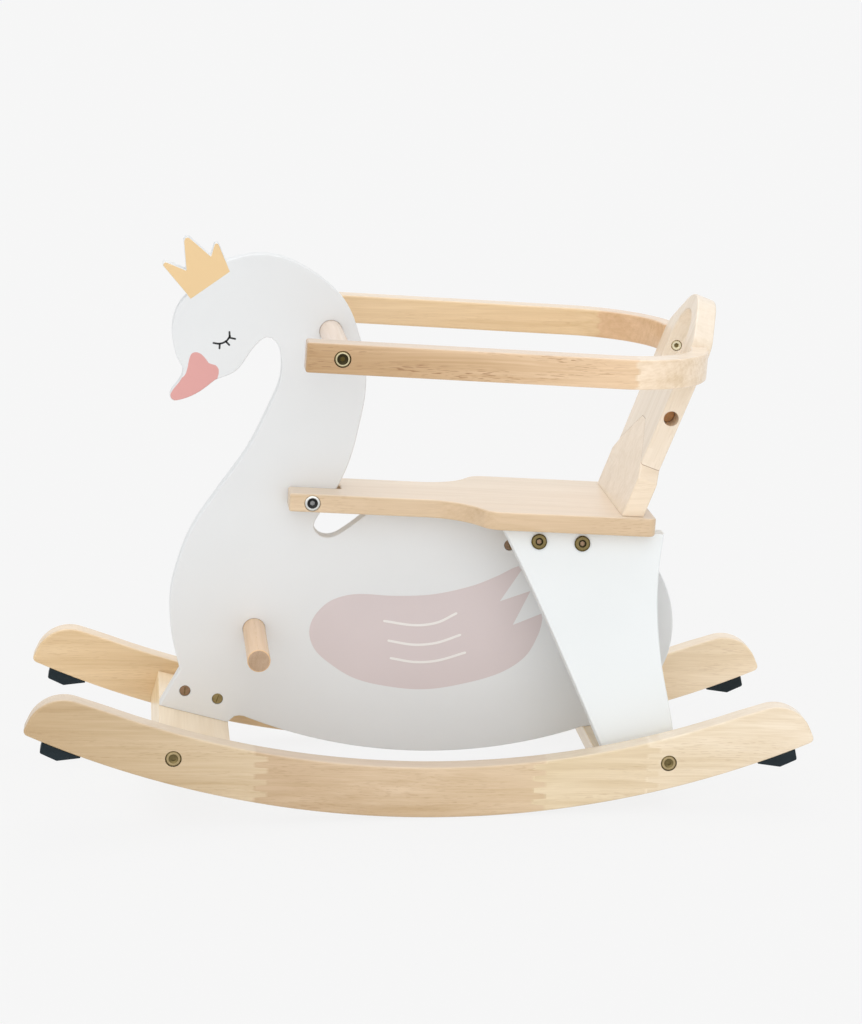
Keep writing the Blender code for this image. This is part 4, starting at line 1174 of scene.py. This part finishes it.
def seat_outline():
    slot = PANEL_THICKNESS / 2 + SEAT_GAP
    flare = (FLARE_END - FLARE_START) / 2
    half = [
        (SLOT_END, slot, 0),
        (SEAT_FRONT, slot, 0),
        (SEAT_FRONT, FORK_HALF_WIDTH, 0),
        (FLARE_START + flare, FORK_HALF_WIDTH, FLARE_ROUND),
        (FLARE_END, SEAT_HALF_WIDTH, FLARE_CORNER_ROUND),
        (SEAT_REAR, SEAT_HALF_WIDTH, SEAT_CORNER_ROUND),
    ]
    return rounded([*half, *((x, -y, radius) for x, y, radius in reversed(half))])


def make_seat(finishes):
    spot = tilted(SEAT_TOP, SEAT_TILT, SEAT_THICKNESS / 2)
    seat = slab("seat_plank", seat_outline(), SEAT_THICKNESS, spot, [finishes["seat"]])
    round_edges(seat, BOARD_ROUND)
    heads = ("fork_bolt", "fork_nut", "backrest_bolt_left", "backrest_bolt_right")
    carve(seat, [head_bore(head) for head in heads])
    dress(seat, "seat_board")


def both_halves(half):
    return [*half, *((-x, y, radius) for x, y, radius in reversed(half) if x > 0)]


def below_seam(rise):
    """The region under the seam between the backrest's two boards, which peaks in its middle."""
    slope = (BACK_SEAM_PEAK - BACK_SEAM) / (BACK_HIGH_HALF - BACK_PEAK_FLAT)
    past = 2 * BACK_LOW_HALF
    end = BACK_SEAM_PEAK - slope * (past - BACK_PEAK_FLAT) + rise
    peak = BACK_SEAM_PEAK + rise
    corners = (
        (-past, -past),
        (past, -past),
        (past, end),
        (BACK_PEAK_FLAT, peak),
        (-BACK_PEAK_FLAT, peak),
        (-past, end),
    )
    return [Vector(corner) for corner in corners]


def hand_hole():
    """The outline of the hole in the backrest, a half circle above and one below."""
    outline = []
    for height, start in ((HAND_HOLE_HIGH, 0), (HAND_HOLE_LOW, math.pi)):
        for i in range(HAND_HOLE_STEPS + 1):
            angle = start + math.pi * i / HAND_HOLE_STEPS
            y = height + HAND_HOLE_RADIUS * math.sin(angle)
            outline.append(Vector((HAND_HOLE_RADIUS * math.cos(angle), y)))
    return outline


def backrest_nut_bore(side, sign):
    """The bore of a barrel nut, from the backrest's edge to the nut's inner end."""
    low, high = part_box("backrest_nut_" + side)
    inner = (low.y if sign > 0 else high.y) - sign * PLAY
    outer = sign * BACK_LOW_HALF
    centre = Vector(((low.x + high.x) / 2, (inner + outer) / 2, (low.z + high.z) / 2))
    return rod("bore", centre, Y_AXIS, (high.z - low.z) / 2 + PLAY, abs(outer - inner))


def seam_cutter(rise, spot, materials):
    """A cutter of the region under the seam, which gives the faces that it leaves the seam's material."""
    cutter = slab("seam", below_seam(rise), 2 * BACK_THICKNESS, spot, materials)
    for polygon in cutter.data.polygons:
        polygon.material_index = 1
    return cutter


def make_backrest(finishes):
    up = Vector((math.sin(BACK_LEAN), 0, math.cos(BACK_LEAN)))
    rearward = Vector((math.cos(BACK_LEAN), 0, -math.sin(BACK_LEAN)))
    middle = Vector((BACK_FOOT_X, 0, seat_height(BACK_FOOT_X))) + rearward * BACK_THICKNESS / 2
    spot = plane(middle, Y_AXIS, up)
    half = [
        (BACK_LOW_HALF, -BACK_FOOT_REACH, 0),
        (BACK_LOW_HALF, BACK_SHOULDER, 0),
        (BACK_HIGH_HALF, BACK_SEAM, 0),
        (BACK_TOP_HALF, BACK_TOP_SIDE, BACK_SIDE_ROUND),
        (0, BACK_TOP, BACK_TOP_ROUND),
    ]
    whole = rounded(both_halves(half), 16)
    low_materials, high_materials = ([finishes[n], finishes["seam"]] for n in ("backrest_foot", "backrest"))
    lower = slab("backrest_low_board", whole, BACK_THICKNESS, spot, low_materials)
    upper = slab("backrest_high_board", whole, BACK_THICKNESS, spot, high_materials)
    carve(upper, [slab("hand hole", hand_hole(), 2 * BACK_THICKNESS, spot)])
    for board in (lower, upper):
        round_edges(board, BACKREST_ROUND)
    carve(lower, [seam_cutter(0, spot, low_materials)], "INTERSECT")
    carve(upper, [seam_cutter(SEAT_GAP, spot, high_materials)])
    for board in (lower, upper):
        round_edges(board, SEAM_ROUND, 2, 1)
    carve(lower, [seat_trimmer(SEAT_THICKNESS)])
    cutters = [head_bore("rail_end_bolt_" + side) for side, _ in SIDES]
    cutters += [backrest_nut_bore(side, sign) for side, sign in SIDES]
    carve(upper, cutters)
    dress(lower, "backrest_lower")
    dress(upper, "backrest_upper")


def rail_outline(sign):
    end_y = BACK_TOP_HALF + SEAT_GAP
    outer, inner = RAIL_HALF_SPREAD, RAIL_HALF_SPREAD - RAIL_THICKNESS
    rise = rail_height(BACK_FOOT_X) - seat_height(BACK_FOOT_X)
    inner_x = BACK_FOOT_X + rise * math.tan(BACK_LEAN) + RAIL_END_SETBACK
    steps = 40
    outline = [Vector((RAIL_FRONT, inner)), Vector((RAIL_FRONT, outer))]
    edges = ((outer, inner_x + RAIL_END_THICKNESS, range(steps + 1)), (inner, inner_x, range(steps, -1, -1)))
    for side_y, end_x, order in edges:
        for i in order:
            angle = math.pi / 2 * i / steps
            across, out = (end_x - RAIL_BEND_X) * math.sin(angle), (side_y - end_y) * math.cos(angle)
            outline.append(Vector((RAIL_BEND_X + across, end_y + out)))
    return [Vector((x, sign * y)) for x, y in outline]


def make_rails(finishes):
    spot = tilted(RAIL_TOP, RAIL_TILT, RAIL_HEIGHT / 2)
    for side, sign in SIDES:
        node = "rail_" + side
        rail = slab("rail_board_" + side, rail_outline(sign), RAIL_HEIGHT, spot, [finishes[node]])
        round_edges(rail, BOARD_ROUND)
        carve(rail, [head_bore("rail_bolt_" + side)])
        dress(rail, node)


def make_bars(finishes):
    for node in BARS:
        low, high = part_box(node)
        materials = [finishes[node], finishes["bar_ends"]]
        length = high.y - low.y
        bar = rod("dowel_" + node, (low + high) / 2, Y_AXIS, BAR_RADIUS, length, BAR_SIDES, materials)
        round_edges(bar, BAR_END_ROUND)
        for polygon in bar.data.polygons:
            polygon.material_index = int(abs(polygon.normal.y) > END_FACING)
        dress(bar, node)


def turned(name, profile, seat, materials, band, closed=False):
    """A solid of revolution on a fastener's axis. The profile runs from its tip to its head as (radius,
    height over the head's underside). The band is the inner and the outer radius of the bright ring."""
    bm = bmesh.new()
    verts = [bm.verts.new((radius, 0, height)) for radius, height in profile]
    edges = [bm.edges.new(pair) for pair in zip(verts, verts[1:])]
    if closed:
        edges.append(bm.edges.new((verts[-1], verts[0])))
    bmesh.ops.spin(
        bm, geom=verts + edges, cent=(0, 0, 0), axis=Z_AXIS, angle=math.tau, steps=HEAD_SIDES, use_merge=True
    )
    bmesh.ops.remove_doubles(bm, verts=bm.verts, dist=1e-6)
    bmesh.ops.recalc_face_normals(bm, faces=bm.faces)
    inner, outer = band
    for face in bm.faces:
        middle = face.calc_center_median()
        if middle.z > seat["height"] / 4 and middle.xy.length < outer:
            face.material_index = 1 if middle.xy.length > inner else 2
    bmesh.ops.transform(bm, matrix=on_axis(seat["under"], seat["out"]), verts=bm.verts)
    return add_piece(name, bm, materials)


def head_rim(radius, height, crest):
    """The profile of a head's rounded rim. The crest is where it ends, as a share of the head's height."""
    return [
        (radius - EDGE_BREAK, 0),
        (radius, EDGE_BREAK),
        (radius, height * 0.45),
        (radius * 0.985, height * 0.68),
        (radius * 0.945, height * crest),
    ]


def fine_bolt(node, finishes, rim="bronze", ring="brass", dish="socket", floor="bronze", dish_share=0.56):
    """A bolt with a rounded rim, a bright flat ring, a dark dish and a hexagon socket. The ring's
    bright finish is a painted highlight, and the dish's dark finish is painted shade.
    """
    seat = head_seat(node)
    radius, height, shank = seat["radius"], seat["height"], seat["shank"]
    length = (seat["under"] - seat["tip"]).length
    socket_radius = SOCKET_ACROSS / math.sqrt(3)
    ring_outer, ring_inner = radius * RING_SHARE, radius * dish_share
    dish_inner = max(radius * DISH_FLOOR_SHARE, socket_radius + EDGE_BREAK)
    profile = [
        (0, -length),
        (shank - SHANK_CHAMFER, -length),
        (shank, -length + SHANK_CHAMFER),
        (shank, 0),
        *head_rim(radius, height, BOLT_CREST),
        (ring_outer, height),
        (ring_inner, height),
        (ring_inner - DISH_LIP, height - RING_EDGE),
        (dish_inner, height - DISH_DEPTH),
        (0, height - DISH_DEPTH),
    ]
    materials = [finishes[part] for part in (rim, ring, dish, floor)]
    bolt = turned("fine_" + node, profile, seat, materials, (ring_inner - RING_EDGE, ring_outer))
    depth = SOCKET_DEPTH + SOCKET_REACH
    middle = seat["top"] + seat["out"] * (depth / 2 - SOCKET_DEPTH)
    socket = rod("socket", middle, seat["out"], socket_radius, depth, 6, materials)
    for polygon in socket.data.polygons:
        polygon.material_index = 3 if abs(polygon.normal.dot(seat["out"])) > END_FACING else 2
    carve(bolt, [socket])
    dress(bolt, node)


def slot_cutter(length, spot, materials):
    """A cutter for a screwdriver slot, which gives the faces that it leaves the second material."""
    bm = bmesh.new()
    bmesh.ops.create_cube(bm, size=1)
    bmesh.ops.scale(bm, vec=(length, SLOT_WIDTH, SLOT_HEIGHT), verts=bm.verts)
    bmesh.ops.bevel(
        bm, geom=bm.edges[:], offset=EDGE_BREAK, affect="EDGES", segments=2, profile=0.5, material=-1
    )
    for face in bm.faces:
        face.material_index = 1
    bmesh.ops.transform(bm, matrix=spot, verts=bm.verts)
    return add_piece("slot", bm, materials)


def fine_nut(node, finishes, axis=None, face="nut", slot=True):
    """A barrel nut with rounded ends, and a screwdriver slot across each of them."""
    seat = head_seat(node, axis)
    radius, ends = seat["radius"], (seat["top"], seat["tip"])
    middle = (ends[0] + ends[1]) / 2
    length = (ends[0] - ends[1]).length
    materials = [finishes[face], finishes["bronze"]]
    nut = rod("fine_" + node, middle, seat["out"], radius, length, HEAD_SIDES, materials)
    round_edges(nut, NUT_ROUND, 3)
    if slot:
        turn = Matrix.Rotation(SLOT_TURN + middle.x * SLOT_TURN_ALONG, 4, "Z")
        spots = [on_axis(end, seat["out"]) @ turn for end in ends]
        carve(nut, [slot_cutter(radius * SLOT_SHARE, spot, materials) for spot in spots])
    dress(nut, node)


def fine_cap_nut(finishes):
    """The fork's cap nut: a sleeve that ends in a flange, over the bolt's end."""
    seat = head_seat("fork_nut")
    radius, height = seat["radius"], seat["height"]
    ring_outer = radius * CAP_RING_SHARE
    profile = [
        (CAP_BORE_RADIUS, -CAP_SLEEVE_LENGTH),
        (CAP_SLEEVE_RADIUS, -CAP_SLEEVE_LENGTH),
        (CAP_SLEEVE_RADIUS, 0),
        *head_rim(radius, height, CAP_CREST),
        (ring_outer, height),
        (CAP_BORE_RADIUS + CAP_BORE_CHAMFER, height),
        (CAP_BORE_RADIUS, height - CAP_BORE_CHAMFER),
    ]
    materials = [finishes[part] for part in ("black steel", "nickel", "socket")]
    nut = turned("fine_fork_nut", profile, seat, materials, (CAP_SLEEVE_RADIUS, ring_outer), True)
    dress(nut, "fork_nut")


def make_hardware(finishes):
    # The bolts' lighter ring finishes and the rail end bolts' pale finish are painted highlights; the socket
    # finish in their dishes is painted shade.
    for end, _ in ENDS:
        for side, _ in SIDES:
            place = f"{end}_{side}"
            fine_bolt("rocker_bolt_" + place, finishes, ring="dull brass", dish="bronze", dish_share=0.6)
            fine_bolt("stop_screw_" + place, finishes)
            fine_nut("rocker_nut_" + place, finishes)
        for row, face in (("outer", "brown bronze"), ("inner", "nut")):
            fine_bolt(f"panel_bolt_{end}_{row}", finishes)
            fine_nut(f"panel_nut_{end}_{row}", finishes, Y_AXIS, face)
    for side, _ in SIDES:
        fine_bolt("rail_bolt_" + side, finishes, floor="dark bronze", dish_share=0.68)
        fine_bolt("rail_end_bolt_" + side, finishes, "pale brass", "pale brass", "pale brass", "bronze")
        for kind in ("leg_foot_bolt_", "backrest_bolt_", "bearer_screw_"):
            fine_bolt(kind + side, finishes)
        for number in (1, 2):
            node = f"leg_bolt_{side}_{number}"
            fine_bolt(node, finishes, "dark bronze", "bronze", "socket", "brown bronze", 0.5)
        fine_nut("backrest_nut_" + side, finishes, Y_AXIS, "copper", False)
    fine_bolt("fork_bolt", finishes, "nickel", "nickel", "black steel", "grey steel", 0.68)
    fine_cap_nut(finishes)
    fine_nut("seat_nut", finishes, Y_AXIS, "brown bronze")
    for node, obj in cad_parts.items():
        if not obj.hide_render:
            obj.data.materials.clear()
            obj.data.materials.append(finishes["bearers" if node.startswith("seat_bearer") else "bronze"])


def film(name, outline, side, material, proud=PAINT_FILM):
    """A painted area on one face of the swan panel."""
    piece = slab(name, outline, proud, upright(side * (PANEL_THICKNESS / 2 + proud / 2)), [material])
    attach(piece, "root")


def wrap(name, region, finishes):
    """Paint on both faces of one end of the swan's board, as far as the region's outline.

    The edges stay white.
    """
    piece = panel_board(name, [finishes[name], finishes["white"]])
    carve(piece, [slab("region", region, 2 * PANEL_THICKNESS, upright())], "INTERSECT")
    bm = bmesh.new()
    bm.from_mesh(piece.data)
    bm.normal_update()
    for vert in bm.verts:
        vert.co += vert.normal * PAINT_FILM
    for face in bm.faces:
        face.material_index = int(abs(face.normal.y) < PAINTED_FACING)
    bm.to_mesh(piece.data)
    bm.free()
    smooth(piece)
    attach(piece, "root")


def make_decoration(finishes):
    wrap("crown_paint", joined([CROWN_PAINT_BASE, CROWN_PAINT_REACH]), finishes)
    curves = [smooth_curve(edge, PAINT_STEP) for edge in (BEAK_PAINT_EDGE, BEAK_PAINT_CHEEK)]
    wrap("beak_paint", joined([*curves, BEAK_PAINT_REACH]), finishes)
    wing = joined([WING_NOTCHES, smooth_curve([*WING_LOW, *WING_TOP[1:]])])
    for side, sign in SIDES:
        film("wing_print_" + side, wing, sign, finishes["wing"])
        for number, path in enumerate(FEATHER_STROKES, 1):
            outline = stroke_outline(path, FEATHER_STROKE_WIDTH)
            film(f"feather_stroke_{side}_{number}", outline, sign, finishes["feather"], FEATHER_FILM)
        for number, path in enumerate(EYE_STROKES, 1):
            outline = stroke_outline(path, EYE_STROKE_WIDTH, 0.001)
            film(f"eye_stroke_{side}_{number}", outline, sign, finishes["eye"])


def make_floor():
    bm = bmesh.new()
    bmesh.ops.create_grid(bm, x_segments=1, y_segments=1, size=FLOOR_HALF)
    bmesh.ops.translate(bm, vec=(0, 0, -FLOOR_DROP), verts=bm.verts)
    material = bpy.data.materials.new("studio_floor")
    material.use_nodes = True
    tree = material.node_tree
    tree.nodes.clear()
    floor_light = AMBIENT
    for _, strength, elevation, _, _ in LIGHTS:
        floor_light += strength / math.pi * math.sin(math.radians(elevation))
    share = FLOOR_SHADOW_SHARE * BACKDROP[0] / floor_light
    lit = shader_node(tree, "BsdfDiffuse", Color=(FLOOR_ALBEDO, FLOOR_ALBEDO, FLOOR_ALBEDO, 1))
    shown = shader_node(tree, "BsdfDiffuse", Color=(share, share, share, 1))
    glow = shader_node(tree, "Emission", Color=(*BACKDROP, 1), Strength=1 - FLOOR_SHADOW_SHARE)
    both = shader_node(tree, "AddShader")
    tree.links.new(shown.outputs[0], both.inputs[0])
    tree.links.new(glow.outputs[0], both.inputs[1])
    show_backdrop(tree, lit, both, "OutputMaterial")
    add_piece("floor", bm, [material])


def show_backdrop(tree, unseen, seen, output):
    """Ends a tree with one shader for the rays that show the backdrop and one for all the others."""
    choice = shader_node(tree, "MixShader", Fac=backdrop_rays(tree))
    tree.links.new(unseen.outputs[0], choice.inputs[1])
    tree.links.new(seen.outputs[0], choice.inputs[2])
    shader_node(tree, output, Surface=choice.outputs[0])


def backdrop_rays(tree):
    """1 for the rays that show the backdrop: the camera's, reflections and what is seen through."""
    path = shader_node(tree, "LightPath").outputs
    seen = calculate(tree, "MAXIMUM", path["Is Camera Ray"], path["Is Glossy Ray"])
    return calculate(tree, "MAXIMUM", seen, path["Is Transmission Ray"])


def make_world():
    world = bpy.data.worlds.new("studio")
    bpy.context.scene.world = world
    world.use_nodes = True
    tree = world.node_tree
    tree.nodes.clear()
    ambient = shader_node(tree, "Background", Color=(1, 1, 1, 1), Strength=AMBIENT)
    shown = shader_node(tree, "Background", Color=(*BACKDROP, 1))
    show_backdrop(tree, ambient, shown, "OutputWorld")


def make_sun(name, strength, *angles):
    """A soft far light. A turn of 0 shines from the camera's side, a negative one from the swan's side."""
    elevation, azimuth, softness = (math.radians(angle) for angle in angles)
    light = bpy.data.lights.new(name, "SUN")
    light.energy = strength
    light.angle = softness
    lamp = bpy.data.objects.new(name, light)
    bpy.context.scene.collection.objects.link(lamp)
    source = Vector((
        math.sin(azimuth) * math.cos(elevation),
        -math.cos(azimuth) * math.cos(elevation),
        math.sin(elevation),
    ))
    lamp.rotation_euler = source.to_track_quat("Z", "Y").to_euler()
    lamp.location = source * 3


def make_camera():
    data = bpy.data.cameras.new("camera")
    data.lens = CAMERA_LENS
    data.sensor_width = SENSOR_WIDTH
    camera = bpy.data.objects.new("camera", data)
    camera.location = CAMERA_PLACE
    camera.rotation_euler = (math.pi / 2 - CAMERA_PITCH, 0, -CAMERA_YAW)
    bpy.context.scene.collection.objects.link(camera)
    bpy.context.scene.camera = camera


bpy.context.scene.view_settings.view_transform = "Standard"
make_camera()
make_world()
make_floor()
for light in LIGHTS:
    make_sun(*light)
FINISHES = make_finishes()
make_rockers(FINISHES)
make_stops(FINISHES)
make_blocks(FINISHES)
make_panel(FINISHES)
make_legs(FINISHES)
make_seat(FINISHES)
make_backrest(FINISHES)
make_rails(FINISHES)
make_bars(FINISHES)
make_hardware(FINISHES)
make_decoration(FINISHES)
